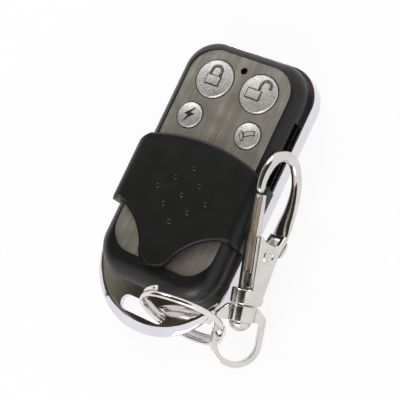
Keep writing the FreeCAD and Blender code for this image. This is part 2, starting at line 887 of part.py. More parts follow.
def slide_cover():
    body = new_body("slide_cover")
    arch = new_sketch(body, "CoverArch", "XZ_Plane")
    inner_roll = size.cover_inner_roll
    outer_roll = size.cover_outer_roll
    add_loop(arch, [
        (-cover_outer_x, cover_bottom),
        (-cover_inner_x, cover_bottom),
        (-cover_inner_x, cover_underside - inner_roll, -inner_roll),
        (-cover_inner_x + inner_roll, cover_underside),
        (cover_inner_x - inner_roll, cover_underside, -inner_roll),
        (cover_inner_x, cover_underside - inner_roll),
        (cover_inner_x, cover_bottom),
        (cover_outer_x, cover_bottom),
        (cover_outer_x, cover_top - outer_roll, outer_roll),
        (cover_outer_x - outer_roll, cover_top),
        (-cover_outer_x + outer_roll, cover_top, outer_roll),
        (-cover_outer_x, cover_top - outer_roll),
    ])
    pad(body, arch, "CoverBlank", 4 * size.cover_travel, symmetric=True)

    trim = new_sketch(body, "CoverOutline")
    far = 4 * size.cover_travel
    add_box(trim, -far, far, -far, far)
    rise = size.cover_crown - size.cover_shoulder_y
    crown_radius = (size.cover_shoulder_x * size.cover_shoulder_x + rise * rise) / (2 * rise)
    add_loop(trim, [
        (size.cover_tip_x, size.cover_tip_y, -size.cover_hollow_radius),
        (size.cover_hollow_x, size.cover_hollow_y),
        (cover_outer_x, size.cover_side_low),
        (cover_outer_x, size.cover_corner_y),
        (size.cover_shoulder_x, size.cover_shoulder_y, crown_radius),
        (-size.cover_shoulder_x, size.cover_shoulder_y),
        (-cover_outer_x, size.cover_corner_y),
        (-cover_outer_x, size.cover_side_low),
        (-size.cover_hollow_x, size.cover_hollow_y, -size.cover_hollow_radius),
        (-size.cover_tip_x, size.cover_tip_y, size.cover_tip_radius),
    ])
    pocket(body, trim, "CoverTrim", 2 * cover_top, upwards=True)

    hooks = new_sketch(body, "HookOutlines", lift=side_slot_floor + size.hook_gap)
    hook_tip = side_slot_x + size.hook_gap
    hook_root = cover_inner_x + size.cover_side_wall / 2
    add_box(hooks, hook_tip, hook_root, size.hook_run_low, size.hook_run_high)
    add_box(hooks, -hook_root, -hook_tip, size.hook_run_low, size.hook_run_high)
    pad(body, hooks, "Hooks", size.side_slot_height - 2 * size.hook_gap)

    dimples = new_sketch(body, "DimpleOutlines", lift=cover_top)
    step = size.dimple_spacing / math.sqrt(2)
    for column in (-1, 0, 1):
        for row in (-1, 0, 1):
            add_circle(dimples, (column + row) * step, size.dimple_centre + (column - row) * step,
                       size.dimple_radius)
    pocket(body, dimples, "Dimples", size.dimple_depth)
    return body


# Ring, eye and snap hook hang one in the other, from the slot outwards

ring_rotation = Rotation(Vector(0, 0, 1), size.ring_turn) * Rotation(Vector(0, 1, 0), size.ring_lean)
hook_rotation = Rotation(size.hook_yaw, size.hook_pitch, size.hook_roll)
across = hook_rotation.multVec(Vector(1, 0, 0))
along = hook_rotation.multVec(Vector(0, 1, 0))
through = hook_rotation.multVec(Vector(0, 0, 1))


def ring_point(radius, angle):
    """A point of the ring's own plane, seen from its centre, in the part's frame."""
    turn = math.radians(angle)
    return ring_rotation.multVec(Vector(radius * math.cos(turn), radius * math.sin(turn), 0))


ring_in_slot = Vector(size.slot_half_length - size.ring_slot_inset, size.slot_centre + size.ring_slot_shift,
                      size.seam_height - size.ring_slot_drop)
ring_centre = ring_in_slot - ring_point(size.ring_radius, size.ring_slot_angle)

eye_turn = math.radians(size.eye_turn)
eye_across = across * math.cos(eye_turn) + through * math.sin(eye_turn)
eye_down = along * -1.0
eye_through = eye_across.cross(eye_down)
eye_leg = ring_centre + ring_point(size.ring_radius - size.ring_eye_inset, size.ring_eye_angle)
eye_centre = (eye_leg + eye_across * (size.eye_radius - size.eye_band / 2)
              + eye_down * size.ring_eye_lift)
eye_matrix = FreeCAD.Matrix(eye_across.x, eye_down.x, eye_through.x, eye_centre.x,
                            eye_across.y, eye_down.y, eye_through.y, eye_centre.y,
                            eye_across.z, eye_down.z, eye_through.z, eye_centre.z,
                            0, 0, 0, 1)
eye_placement = Placement(eye_matrix)
hook_reach = size.eye_bar + size.eye_boss_length + size.swivel_gap - size.base_bottom
hook_origin = eye_centre - across * size.swivel_across + along * hook_reach
hook_placement = Placement(hook_origin, hook_rotation)


def arc_edge(start, tangent, end):
    """The circular arc that leaves start along tangent and ends at end."""
    chord = end - start
    towards = chord * (1 / chord.Length)
    lean = tangent - towards * tangent.dot(towards)
    if lean.Length < 1e-9:
        return Part.LineSegment(start, end).toShape()
    half_angle = tangent.getAngle(chord) / 2
    crest = start + chord * 0.5 + lean * (chord.Length / 2 * math.tan(half_angle) / lean.Length)
    return Part.Arc(start, crest, end).toShape()


def on_turn(angle, height):
    turn = math.radians(angle)
    point = Vector(size.ring_radius * math.cos(turn), size.ring_radius * math.sin(turn), height)
    tangent = Vector(-math.sin(turn), math.cos(turn), 0)
    return point, tangent


def flat_turn(first, last, height):
    """Quarter arcs, or shorter, from one angle to another at one height."""
    pieces = math.ceil((last - first) / 90 - 1e-9)
    step = (last - first) / pieces
    edges = []
    for index in range(pieces):
        start, tangent = on_turn(first + index * step, height)
        end, _ = on_turn(first + (index + 1) * step, height)
        edges.append(arc_edge(start, tangent, end))
    return edges


def stepped_quarter(first, low, high):
    """Two arcs that climb from one turn to the other over a quarter turn."""
    start, leaving = on_turn(first, low)
    end, arriving = on_turn(first + 90, high)
    chord = end - start
    both = leaving + arriving
    pull = 2 - 2 * leaving.dot(arriving)
    slope = chord.dot(both)
    reach = (-slope + math.sqrt(slope * slope + pull * chord.dot(chord))) / pull
    joint = (start + leaving * reach + end - arriving * reach) * 0.5
    middle = joint - (start + leaving * reach)
    middle.normalize()
    return [arc_edge(start, leaving, joint), arc_edge(joint, middle, end)]


def least_gap(path, wire):
    """The least gap between stretches of the wire that lie over a quarter turn apart."""
    points = []
    for edge in path:
        points.extend(edge.discretize(Number=12)[:-1])
    quarter = math.pi * size.ring_radius / 2
    walked = [0.0]
    for before, after in zip(points, points[1:]):
        walked.append(walked[-1] + before.distanceToPoint(after))
    least = math.inf
    for first, point in enumerate(points):
        for second in range(first + 1, len(points)):
            if walked[second] - walked[first] > quarter:
                least = min(least, point.distanceToPoint(points[second]))
    return least - 2 * wire


def split_ring():
    low = -size.ring_pitch / 2
    high = size.ring_pitch / 2
    step_start = float(size.ring_step_start)
    end_gap = float(size.ring_end_gap)
    path = flat_turn(step_start + 90 + end_gap - 360, step_start, low)
    path += stepped_quarter(step_start, low, high)
    path += flat_turn(step_start + 90, step_start + 360 - end_gap, high)
    start, tangent = on_turn(step_start + 90 + end_gap - 360, low)
    section = Part.Wire([Part.Circle(start, tangent, size.ring_wire).toShape()])
    wire = Part.Wire(path)
    tube = wire.makePipeShell([section], True, False)
    expected = math.pi * size.ring_wire ** 2 * wire.Length
    print(f"split ring: least gap to itself {least_gap(path, size.ring_wire):.3f} mm, "
          f"volume {tube.Volume:.2f} against {expected:.2f}")
    ring = solid("split_ring", tube)
    ring.Placement = Placement(ring_centre, ring_rotation)
    return ring


def swivel_eye():
    body = new_body("swivel_eye")
    outer = size.eye_radius
    inner = outer - size.eye_band
    bar_top = size.eye_bar + size.eye_boss_length - size.swivel_gap
    outline = new_sketch(body, "EyeOutline")
    add_loop(outline, [
        (-outer, -(bar_top - size.eye_shoulder)),
        (-outer + size.eye_shoulder, -bar_top),
        (outer - size.eye_shoulder, -bar_top),
        (outer, -(bar_top - size.eye_shoulder)),
        (outer, 0.0, outer),
        (0.0, outer, outer),
        (-outer, 0.0),
    ])
    add_loop(outline, [
        (-inner, -size.eye_bar),
        (inner, -size.eye_bar),
        (inner, 0.0, inner),
        (0.0, inner, inner),
        (-inner, 0.0),
    ])
    pad(body, outline, "EyeBand", size.eye_thickness, symmetric=True)
    boss = new_sketch(body, "BossOutline", "XZ_Plane", lift=size.eye_bar)
    add_circle(boss, 0.0, 0.0, size.eye_boss_radius)
    pad(body, boss, "EyeBoss", size.eye_boss_length)
    bore = new_sketch(body, "BoreOutline", "XZ_Plane", lift=size.eye_bar)
    add_circle(bore, 0.0, 0.0, size.post_radius + size.post_fit)
    pocket(body, bore, "EyeBore", size.eye_boss_length, upwards=True)
    body.Placement = eye_placement
    return body


def swivel_rivet():
    body = new_body("swivel_rivet")
    shoulder = size.base_bottom - 2 * size.swivel_gap - size.eye_boss_length + size.swivel_gap / 2
    tip = shoulder - size.knob_height
    dome = size.knob_height - size.knob_skirt
    dome_radius = (size.knob_radius * size.knob_radius + dome * dome) / (2 * dome)
    post_top = (size.base_top + size.base_bottom) / 2
    profile = new_sketch(body, "RivetProfile", shift=size.swivel_across)
    add_loop(profile, [
        (0.0, tip, dome_radius),
        (size.knob_radius, tip + dome),
        (size.knob_radius, shoulder),
        (size.post_radius, shoulder),
        (size.post_radius, post_top),
        (0.0, post_top),
    ])
    revolve(body, profile, "Rivet")
    body.Placement = hook_placement
    return body


# Outlines of the clasp across and along, in units of the sheet's clasp_unit
CHEEK_OUTLINE = (
    (1.4, -10.2), (1.2, -9.1), (1.7, -6.6), (2.3, -4.0), (2.7, -2.0), (3.2, 0.0), (3.6, 1.0), (4.3, 2.4),
    (5.2, 4.6), (4.2, 4.9), (3.0, 2.8), (1.7, 2.3), (0.2, 2.8), (-1.1, 3.4), (-2.3, 4.4), (-2.7, 3.9),
)
CHEEK_FOOT = (-2.1, 0.8)
LEVER_OUTLINE = (
    (-2.5, -4.0), (-1.1, -4.0), (-0.9, -2.2), (0.4, -1.8), (2.5, -0.7), (4.4, 0.3), (5.1, 1.4), (5.4, 2.6),
    (5.3, 3.6), (3.6, 2.4), (1.6, 1.9), (0.0, 2.4), (-1.4, 3.8), (-2.0, 13.0), (-3.0, 13.0), (-2.9, 3.9),
)
CHANNEL_OUTLINE = ((6.5, 4.0), (3.6, 4.0), (2.6, 5.5), (-6.0, 5.5))
CHANNEL_FOOT = (-6.0, 6.5)
THUMB_OUTLINE = ((3.4, -0.2), (4.4, 0.3), (5.1, 1.4), (5.4, 2.6), (5.3, 3.6), (4.45, 2.3), (3.75, 0.9))
HOOK_SECTIONS = (
    # middle across and along, direction, half thickness in the plane and through it
    (4.75, 4.3, 62.0, 0.75, 2.6),
    (5.55, 7.0, 72.0, 1.15, 2.3),
    (6.35, 10.2, 80.0, 1.1, 1.8),
    (6.8, 13.7, 88.0, 1.1, 1.4),
    (6.6, 16.8, 99.0, 1.1, 1.2),
    (5.4, 20.0, 124.0, 1.15, 1.15),
    (3.8, 21.5, 152.0, 1.2, 1.2),
    (1.9, 21.95, 182.0, 1.22, 1.22),
    (0.2, 21.4, 210.0, 1.2, 1.2),
    (-1.2, 20.1, 232.0, 1.15, 1.15),
    (-2.3, 18.1, 248.0, 1.1, 1.1),
    (-2.9, 16.0, 260.0, 1.0, 1.0),
    (-3.0, 14.1, 270.0, 0.9, 0.9),
    (-2.9, 13.35, 270.0, 0.55, 0.55),
)


def clasp_outline(corners, foot=(), foot_along=0.0):
    """The corners as lengths from the sheet, after the two of a foot at its own height."""
    outline = [(x * size.clasp_unit, foot_along) for x in foot]
    return outline + [(x * size.clasp_unit, y * size.clasp_unit) for x, y in corners]


def hook_section(middle_x, middle_y, direction, half_in_plane, half_through):
    """One closed oval across the hook's bar."""
    middle_x, middle_y, half_in_plane, half_through = (
        length * float(size.clasp_unit) for length in (middle_x, middle_y, half_in_plane, half_through))
    turn = math.radians(direction)
    placed = FreeCAD.Matrix(
        0, -math.sin(turn) * half_in_plane, math.cos(turn), middle_x,
        0, math.cos(turn) * half_in_plane, math.sin(turn), middle_y,
        half_through, 0, 0, 0,
        0, 0, 0, 1)
    return Part.Wire([Part.makeCircle(1.0).transformGeometry(placed)])


def hook_body():
    cheeks = new_body("hook_cheeks")
    outline = new_sketch(cheeks, "CheekOutline")
    add_loop(outline, clasp_outline(CHEEK_OUTLINE, CHEEK_FOOT, size.base_bottom))
    pad(cheeks, outline, "CheekBlank", 2 * size.cheek_half_width, symmetric=True)
    base = new_sketch(cheeks, "BaseOutline", "XZ_Plane", lift=-size.base_top, shift=size.swivel_across)
    add_circle(base, 0.0, 0.0, size.base_radius)
    pad(cheeks, base, "Base", size.base_top - size.base_bottom)
    channel = new_sketch(cheeks, "ChannelOutline")
    add_loop(channel, clasp_outline(CHANNEL_OUTLINE, CHANNEL_FOOT, size.base_top))
    channel_half = size.cheek_half_width - size.cheek_thickness
    pocket(cheeks, channel, "Channel", 2 * channel_half, symmetric=True)
    pin_hole = new_sketch(cheeks, "PinHole")
    add_circle(pin_hole, size.pin_across, 0.0, size.pin_radius + size.lever_bore_gap)
    pocket(cheeks, pin_hole, "PinBore", 4 * size.cheek_half_width, symmetric=True)
    post_hole = new_sketch(cheeks, "PostHole", "XZ_Plane", lift=-size.base_bottom, shift=size.swivel_across)
    add_circle(post_hole, 0.0, 0.0, size.post_radius + size.lever_bore_gap)
    pocket(cheeks, post_hole, "PostBore", (size.base_top - size.base_bottom) / 2)

    bar = solid("hook_bar", Part.makeLoft([hook_section(*section) for section in HOOK_SECTIONS], True, False))
    hook = join("hook_body", [cheeks, bar])
    hook.Placement = hook_placement
    return hook


def gate_lever():
    body = new_body("gate_lever")
    channel_half = size.cheek_half_width - size.cheek_thickness
    outline = new_sketch(body, "LeverOutline")
    add_loop(outline, clasp_outline(LEVER_OUTLINE))
    pad(body, outline, "Lever", 2 * (channel_half - size.lever_side_gap), symmetric=True)
    thumb = new_sketch(body, "ThumbOutline")
    add_loop(thumb, clasp_outline(THUMB_OUTLINE))
    pad(body, thumb, "ThumbTab", 2 * (size.cheek_half_width - size.lever_side_gap), symmetric=True)
    bore = new_sketch(body, "LeverBoreOutline")
    add_circle(bore, size.pin_across, 0.0, size.pin_radius + size.lever_bore_gap)
    pocket(body, bore, "LeverBore", 4 * size.cheek_half_width, symmetric=True)
    body.Placement = hook_placement
    return body


def gate_pin():
    body = new_body("gate_pin")
    profile = new_sketch(body, "PinProfile", "XZ_Plane", shift=size.pin_across)
    seat = size.cheek_half_width
    top = seat + size.pin_head_height
    dent = top - size.pin_dimple_depth
    add_loop(profile, [
        (0.0, -dent),
        (size.pin_dimple_radius, -dent),
        (size.pin_dimple_radius, -top),
        (size.pin_head_radius, -top),
        (size.pin_head_radius, -seat),
        (size.pin_radius, -seat),
        (size.pin_radius, seat),
        (size.pin_head_radius, seat),
        (size.pin_head_radius, top),
        (size.pin_dimple_radius, top),
        (size.pin_dimple_radius, dent),
        (0.0, dent),
    ])
    revolve(body, profile, "Pin")
    body.Placement = hook_placement
    return body


def gate_spring():
    body = new_body("gate_spring")
    outline = new_sketch(body, "SpringOutline", "XZ_Plane", lift=-size.spring_top, shift=size.spring_across)
    add_circle(outline, 0.0, 0.0, size.spring_radius)
    add_circle(outline, 0.0, 0.0, size.spring_bore)
    pad(body, outline, "Spring", size.spring_top - size.base_top)
    body.Placement = hook_placement
    return body


def build():
    nodes = [back_shell(), front_shell(), face_plate(), slide_cover()]
    for name, x, y, radius in BUTTONS:
        nodes.append(button(name, x, y, radius))
        nodes.append(plunger(name, x, y))
    nodes += [
        circuit_board(), tact_switches(), status_led(), saw_resonator(), encoder_chip(), rf_transistor(),
        loop_antenna(), chip_capacitors(), chip_resistors(), battery_can(), battery_cap(),
        contact("negative_contact", -1), contact("positive_contact", 1), case_screws(),
        split_ring(), swivel_eye(), swivel_rivet(), hook_body(), gate_lever(), gate_pin(), gate_spring(),
    ]
    return nodes


def export(nodes):
    """Write each piece once everything in the document is sound."""
    document.recompute()
    for feature in document.Objects:
        if "Invalid" in feature.State or "Error" in feature.State:
            raise RuntimeError(feature.Label + " failed")
    os.makedirs("parts", exist_ok=True)
    for node in nodes:
        if node.Shape.isNull() or not node.Shape.isValid():
            raise RuntimeError(node.Label + " is not a sound shape")
        node.Shape.exportStep(f"parts/{node.Label}.step")
    print(f"{len(nodes)} pieces written")


export(build())
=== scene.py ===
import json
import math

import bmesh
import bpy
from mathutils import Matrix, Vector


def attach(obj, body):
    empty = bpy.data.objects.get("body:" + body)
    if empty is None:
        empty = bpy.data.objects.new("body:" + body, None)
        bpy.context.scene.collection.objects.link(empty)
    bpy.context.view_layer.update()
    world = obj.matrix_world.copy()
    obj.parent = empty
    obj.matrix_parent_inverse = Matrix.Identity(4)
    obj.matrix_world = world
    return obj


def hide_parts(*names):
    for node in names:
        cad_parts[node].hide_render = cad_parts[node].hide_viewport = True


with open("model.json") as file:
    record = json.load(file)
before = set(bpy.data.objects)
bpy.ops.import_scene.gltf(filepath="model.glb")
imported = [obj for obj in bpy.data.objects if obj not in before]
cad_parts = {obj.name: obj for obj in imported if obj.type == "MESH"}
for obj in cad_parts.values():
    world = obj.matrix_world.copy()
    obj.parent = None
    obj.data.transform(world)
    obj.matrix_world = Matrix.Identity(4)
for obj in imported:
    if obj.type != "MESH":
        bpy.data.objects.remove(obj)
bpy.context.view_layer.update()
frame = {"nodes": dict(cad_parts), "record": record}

# %% [markdown]
# # A gate remote on a key ring
#
# This lesson dresses a gate remote: a chrome tray with a black shell in it, a brushed
# plate with four buttons, a black cover that slides up over them, a split ring and a
# small snap hook.
#
# Blender counts in metres, and the remote is only 69 millimetres long, so every shape
# below is drawn in millimetres and multiplied by MM. The grain of a finish and the
# studio round the remote are given in metres.

MM = 0.001
CLOSE = 0.001  # millimetres within which two points or heights are the same

# %% [markdown]
# ## The camera
#
# The photograph was taken from above and from the right side of the remote, about 30
# centimetres away. A long lens at that distance keeps the sides of the remote nearly
# parallel. The camera is turned as well as tilted, so two directions say how it is held,
# its right and its back; its up follows from them.

# %% Camera
CAMERA_PLACE = Vector((138.45, -32.8, 262.1)) * MM
CAMERA_RIGHT = Vector((0.819, 0.425, -0.385))
CAMERA_BACK = Vector((0.468, -0.107, 0.877))
LENS = 117.0

camera_data = bpy.data.cameras.new("camera")
camera_data.lens = LENS
camera_data.sensor_width = 36.0
camera_data.clip_start = 0.01
camera = bpy.data.objects.new("camera", camera_data)
bpy.context.scene.collection.objects.link(camera)
back = CAMERA_BACK.normalized()
right = (CAMERA_RIGHT - back * CAMERA_RIGHT.dot(back)).normalized()
turned = Matrix((right, back.cross(right), back)).transposed()
camera.matrix_world = Matrix.Translation(CAMERA_PLACE) @ turned.to_4x4()
bpy.context.scene.camera = camera
bpy.context.scene.view_settings.view_transform = "Standard"
print("camera at", [round(part, 3) for part in camera.location])

# %% [markdown]
# ## Node groups for the finishes
#
# Metal and plastic are never quite even. Four effects make up the finishes here: a fine
# grain, the long streaks of a brush, slow changes of tone, and the faint marks that
# fingers leave. Each is a node group, built once, so that a material only says how
# strong or how fine it wants the effect.

# %% Helpers for node groups
def new_group(name, inputs, outputs):
    """A shader group with its sockets, its input node and its output node."""
    group = bpy.data.node_groups.new(name, "ShaderNodeTree")
    for label, kind, value in inputs:
        socket = group.interface.new_socket(label, in_out="INPUT", socket_type=kind)
        socket.default_value = value
    for label, kind in outputs:
        group.interface.new_socket(label, in_out="OUTPUT", socket_type=kind)
    return group, group.nodes.new("NodeGroupInput"), group.nodes.new("NodeGroupOutput")


def add_node(tree, kind, links=(), **settings):
    """A node with its settings, and its inputs linked or given a number."""
    node = tree.nodes.new(kind)
    for label, value in settings.items():
        setattr(node, label, value)
    for socket, source in links:
        if isinstance(source, bpy.types.NodeSocket):
            tree.links.new(source, node.inputs[socket])
        else:
            node.inputs[socket].default_value = source
    return node


def one_over(tree, size):
    """The scale of a noise whose grains have a size in metres."""
    return add_node(tree, "ShaderNodeMath", [(0, 1.0), (1, size)], operation="DIVIDE").outputs[0]


def mixed_colour(tree, share, first, second):
    """A colour between two; in a mix node colours go into sockets 6 and 7 and leave by 2."""
    mix = add_node(tree, "ShaderNodeMix", [(0, share), (6, first), (7, second)], data_type="RGBA")
    return mix.outputs[2]


FLOAT, COLOUR, VECTOR = "NodeSocketFloat", "NodeSocketColor", "NodeSocketVector"

# %% Grain: the fine roughness of moulded plastic and blasted metal
grain, grain_in, grain_out = new_group(
    "grain", [("Point", VECTOR, (0, 0, 0)), ("Size", FLOAT, 0.0002)], [("Height", FLOAT)])
fine = add_node(grain, "ShaderNodeTexNoise",
                [("Vector", grain_in.outputs["Point"]),
                 ("Scale", one_over(grain, grain_in.outputs["Size"])),
                 ("Detail", 3.0), ("Roughness", 0.6)])
grain.links.new(fine.outputs["Fac"], grain_out.inputs["Height"])

# %% Brushing: streaks along the piece, in shade and in height
brushing, brushing_in, brushing_out = new_group(
    "brushing", [("Point", VECTOR, (0, 0, 0)), ("Streak", FLOAT, 0.0001), ("Stretch", FLOAT, 60.0)],
    [("Height", FLOAT), ("Shade", FLOAT)])
parted = add_node(brushing, "ShaderNodeSeparateXYZ", [(0, brushing_in.outputs["Point"])])
squeezed = add_node(brushing, "ShaderNodeMath",
                    [(0, parted.outputs["Y"]), (1, brushing_in.outputs["Stretch"])],
                    operation="DIVIDE")
joined = add_node(brushing, "ShaderNodeCombineXYZ",
                  [("X", parted.outputs["X"]), ("Y", squeezed.outputs[0]),
                   ("Z", parted.outputs["Z"])])
per_streak = one_over(brushing, brushing_in.outputs["Streak"])
thin = add_node(brushing, "ShaderNodeTexNoise",
                [("Vector", joined.outputs[0]), ("Scale", per_streak), ("Detail", 2.0)])
BANDS_PER_STREAK = 0.14
per_band = add_node(brushing, "ShaderNodeMath", [(0, per_streak), (1, BANDS_PER_STREAK)],
                    operation="MULTIPLY")
wide = add_node(brushing, "ShaderNodeTexNoise",
                [("Vector", joined.outputs[0]), ("Scale", per_band.outputs[0]), ("Detail", 3.0)])
both = add_node(brushing, "ShaderNodeMix",
                [("Factor", 0.5), ("A", thin.outputs["Fac"]), ("B", wide.outputs["Fac"])])
sharper = add_node(brushing, "ShaderNodeMapRange",
                   [("Value", both.outputs[0]), ("From Min", 0.36), ("From Max", 0.64)])
brushing.links.new(thin.outputs["Fac"], brushing_out.inputs["Height"])
brushing.links.new(sharper.outputs[0], brushing_out.inputs["Shade"])

# %% Tone: a colour that drifts slowly to a second one
tone, tone_in, tone_out = new_group(
    "tone", [("Point", VECTOR, (0, 0, 0)), ("Size", FLOAT, 0.004), ("First", COLOUR, (1, 1, 1, 1)),
             ("Second", COLOUR, (0, 0, 0, 1))], [("Color", COLOUR)])
patches = add_node(tone, "ShaderNodeTexNoise",
                   [("Vector", tone_in.outputs["Point"]),
                    ("Scale", one_over(tone, tone_in.outputs["Size"])), ("Detail", 4.0)])
firmer = add_node(tone, "ShaderNodeMapRange",
                  [("Value", patches.outputs["Fac"]), ("From Min", 0.3), ("From Max", 0.7)])
drift = mixed_colour(tone, firmer.outputs[0], tone_in.outputs["First"], tone_in.outputs["Second"])
tone.links.new(drift, tone_out.inputs["Color"])

# %% Marks: where handling has dulled or polished the surface
marks, marks_in, marks_out = new_group(
    "marks", [("Point", VECTOR, (0, 0, 0)), ("Size", FLOAT, 0.003), ("Clean", FLOAT, 0.1),
              ("Handled", FLOAT, 0.2)], [("Roughness", FLOAT)])
smears = add_node(marks, "ShaderNodeTexNoise",
                  [("Vector", marks_in.outputs["Point"]),
                   ("Scale", one_over(marks, marks_in.outputs["Size"])), ("Detail", 5.0)])
spread = add_node(marks, "ShaderNodeMapRange",
                  [("Value", smears.outputs["Fac"]), ("From Min", 0.35), ("From Max", 0.7),
                   ("To Min", marks_in.outputs["Clean"]), ("To Max", marks_in.outputs["Handled"])])
marks.links.new(spread.outputs[0], marks_out.inputs["Roughness"])
print("node groups:", [group.name for group in (grain, brushing, tone, marks)])


# %% One helper that assembles a finish
def finish(name, first, second, patch, clean, handled, mark, metallic=0.0, bump=0.0,
           grain_size=0.0002, streak=0.0, **constants):
    """A material: tones in patches, roughness in marks, raised by a grain or a brushing."""
    material = bpy.data.materials.new(name)
    material.use_nodes = True
    tree = material.node_tree
    shader = tree.nodes["Principled BSDF"]
    point = add_node(tree, "ShaderNodeTexCoord").outputs["Object"]
    colours = add_node(tree, "ShaderNodeGroup", node_tree=tone)
    worn = add_node(tree, "ShaderNodeGroup", node_tree=marks)
    for node, values in ((colours, {"Size": patch, "First": (*first, 1), "Second": (*second, 1)}),
                         (worn, {"Size": mark, "Clean": clean, "Handled": handled})):
        tree.links.new(point, node.inputs["Point"])
        for label, value in values.items():
            node.inputs[label].default_value = value
    tree.links.new(colours.outputs["Color"], shader.inputs["Base Color"])
    tree.links.new(worn.outputs["Roughness"], shader.inputs["Roughness"])
    shader.inputs["Metallic"].default_value = metallic
    for label, value in constants.items():
        shader.inputs[label.replace("_", " ")].default_value = value
    if bump:
        relief = add_node(tree, "ShaderNodeGroup", node_tree=brushing if streak else grain)
        tree.links.new(point, relief.inputs["Point"])
        if streak:
            relief.inputs["Streak"].default_value = streak
            shaded = mixed_colour(tree, relief.outputs["Shade"], colours.outputs["Color"],
                                  (*second, 1))
            tree.links.new(shaded, shader.inputs["Base Color"])
        else:
            relief.inputs["Size"].default_value = grain_size
        raised = add_node(tree, "ShaderNodeBump",
                          [("Height", relief.outputs["Height"]), ("Strength", 1.0),
                           ("Distance", bump)])
        tree.links.new(raised.outputs["Normal"], shader.inputs["Normal"])
    return material


# %% [markdown]
# ## The finishes
#
# The photograph shows four kinds of surface. The tray, the ring and the hook are bright
# plating over polished metal, so they show whatever stands round them. The plate is
# brushed along its length. The button caps are blasted with fine grit, which makes them
# pale and soft. The shell and the cover are black plastic with a rubbery skin. A bright
# metal needs only a tint and a low roughness here; what it looks like comes from the
# surroundings, which are built further down.
#
# A finish drifts between its two tones in patches, and between a clean and a handled
# roughness in marks. The sizes of patches, marks, grain and streaks, and the height of a
# bump, are in metres. The last finishes belong to the parts inside, which show when the
# model is taken apart.

# %% Finishes, one for each slot of the record and three for details
FINISH = {
    "chrome_tray": finish(
        "bright_chrome", (0.76, 0.75, 0.80), (0.70, 0.69, 0.73),
        patch=0.006, clean=0.05, handled=0.10, mark=0.004, metallic=1.0),
    "black_shell": finish(
        "soft_black", (0.008, 0.008, 0.0085), (0.005, 0.005, 0.0055),
        patch=0.004, clean=0.32, handled=0.40, mark=0.003,
        bump=0.00001, grain_size=0.00016, Specular_IOR_Level=0.38),
    "black_cover": finish(
        "rubber_black", (0.0075, 0.0075, 0.0075), (0.005, 0.005, 0.0052),
        patch=0.005, clean=0.40, handled=0.48, mark=0.004,
        bump=0.000012, grain_size=0.00018, Specular_IOR_Level=0.35),
    "brushed_plate": finish(
        "brushed_nickel", (0.54, 0.51, 0.455), (0.29, 0.272, 0.235),
        patch=0.005, clean=0.40, handled=0.48, mark=0.004,
        metallic=0.85, bump=0.00002, streak=0.00016),
    "button_metal": finish(
        "blasted_silver", (0.82, 0.81, 0.785), (0.44, 0.43, 0.41),
        patch=0.00035, clean=0.42, handled=0.56, mark=0.001,
        metallic=0.85, bump=0.00005, grain_size=0.0003),
    "ring_nickel": finish(
        "ring_plating", (0.82, 0.79, 0.76), (0.72, 0.69, 0.65),
        patch=0.003, clean=0.08, handled=0.16, mark=0.002, metallic=1.0),
    "clasp_nickel": finish(
        "clasp_plating", (0.71, 0.69, 0.665), (0.61, 0.59, 0.56),
        patch=0.003, clean=0.10, handled=0.20, mark=0.002,
        metallic=1.0, bump=0.000008, grain_size=0.0006),
    # painted shade on the pictogram slopes and on the caps' lower walls, and the dark fill of the
    # bolt
    "dark_fill_and_painted_shade": finish(
        "dark_fill_painted_shade", (0.035, 0.034, 0.031), (0.02, 0.019, 0.018),
        patch=0.0006, clean=0.5, handled=0.6, mark=0.0006, metallic=0.6, bump=0.000006),
    # the floor of the lever's channel, coloured warm brown
    "warm_channel": finish(
        "warm_brown_channel", (0.62, 0.46, 0.35), (0.50, 0.35, 0.25),
        patch=0.002, clean=0.30, handled=0.42, mark=0.001, metallic=0.9, bump=0.000006),
    "dimple_gloss": finish(
        "dimple_gloss", (0.012, 0.012, 0.013), (0.008, 0.008, 0.009),
        patch=0.002, clean=0.12, handled=0.20, mark=0.001, bump=0.000004, Specular_IOR_Level=1.0),
    "plunger_plastic": finish(
        "white_acetal", (0.75, 0.74, 0.71), (0.68, 0.67, 0.63),
        patch=0.001, clean=0.4, handled=0.5, mark=0.001, bump=0.000004),
    "board_laminate": finish(
        "green_laminate", (0.02, 0.16, 0.05), (0.015, 0.12, 0.04),
        patch=0.002, clean=0.3, handled=0.42, mark=0.002, bump=0.00001, grain_size=0.0004),
    "switch_metal": finish(
        "switch_tin", (0.62, 0.62, 0.62), (0.52, 0.52, 0.52),
        patch=0.001, clean=0.25, handled=0.4, mark=0.001, metallic=1.0, bump=0.000004),
    "led_epoxy": finish(
        "red_epoxy", (0.030, 0.006, 0.005), (0.020, 0.004, 0.003),
        patch=0.001, clean=0.1, handled=0.2, mark=0.001, bump=0.000002),
    "chip_plastic": finish(
        "chip_black", (0.02, 0.02, 0.021), (0.014, 0.014, 0.015),
        patch=0.001, clean=0.5, handled=0.62, mark=0.001, bump=0.000008),
    "copper_track": finish(
        "tinned_copper", (0.72, 0.42, 0.24), (0.60, 0.34, 0.19),
        patch=0.002, clean=0.2, handled=0.38, mark=0.002, metallic=1.0, bump=0.000004),
    "capacitor_ceramic": finish(
        "tan_ceramic", (0.42, 0.31, 0.19), (0.35, 0.25, 0.15),
        patch=0.0008, clean=0.35, handled=0.5, mark=0.0008, bump=0.000005),
    "battery_sleeve": finish(
        "battery_sleeve", (0.10, 0.11, 0.13), (0.07, 0.08, 0.10),
        patch=0.003, clean=0.3, handled=0.42, mark=0.003, bump=0.000004),
    "contact_nickel": finish(
        "contact_plating", (0.68, 0.65, 0.58), (0.60, 0.57, 0.50),
        patch=0.001, clean=0.2, handled=0.34, mark=0.001, metallic=1.0, bump=0.000004),
    "screw_steel": finish(
        "screw_zinc", (0.60, 0.60, 0.60), (0.48, 0.48, 0.48),
        patch=0.0008, clean=0.22, handled=0.38, mark=0.0008, metallic=1.0, bump=0.000005),
}
slot_of_node = {part["node"]: part["material_slot"] for part in frame["record"]["subparts"]}
bodies = frame["record"]["behaviour"]["bodies"]
body_of_node = {node: body for body, nodes in bodies.items() for node in nodes}
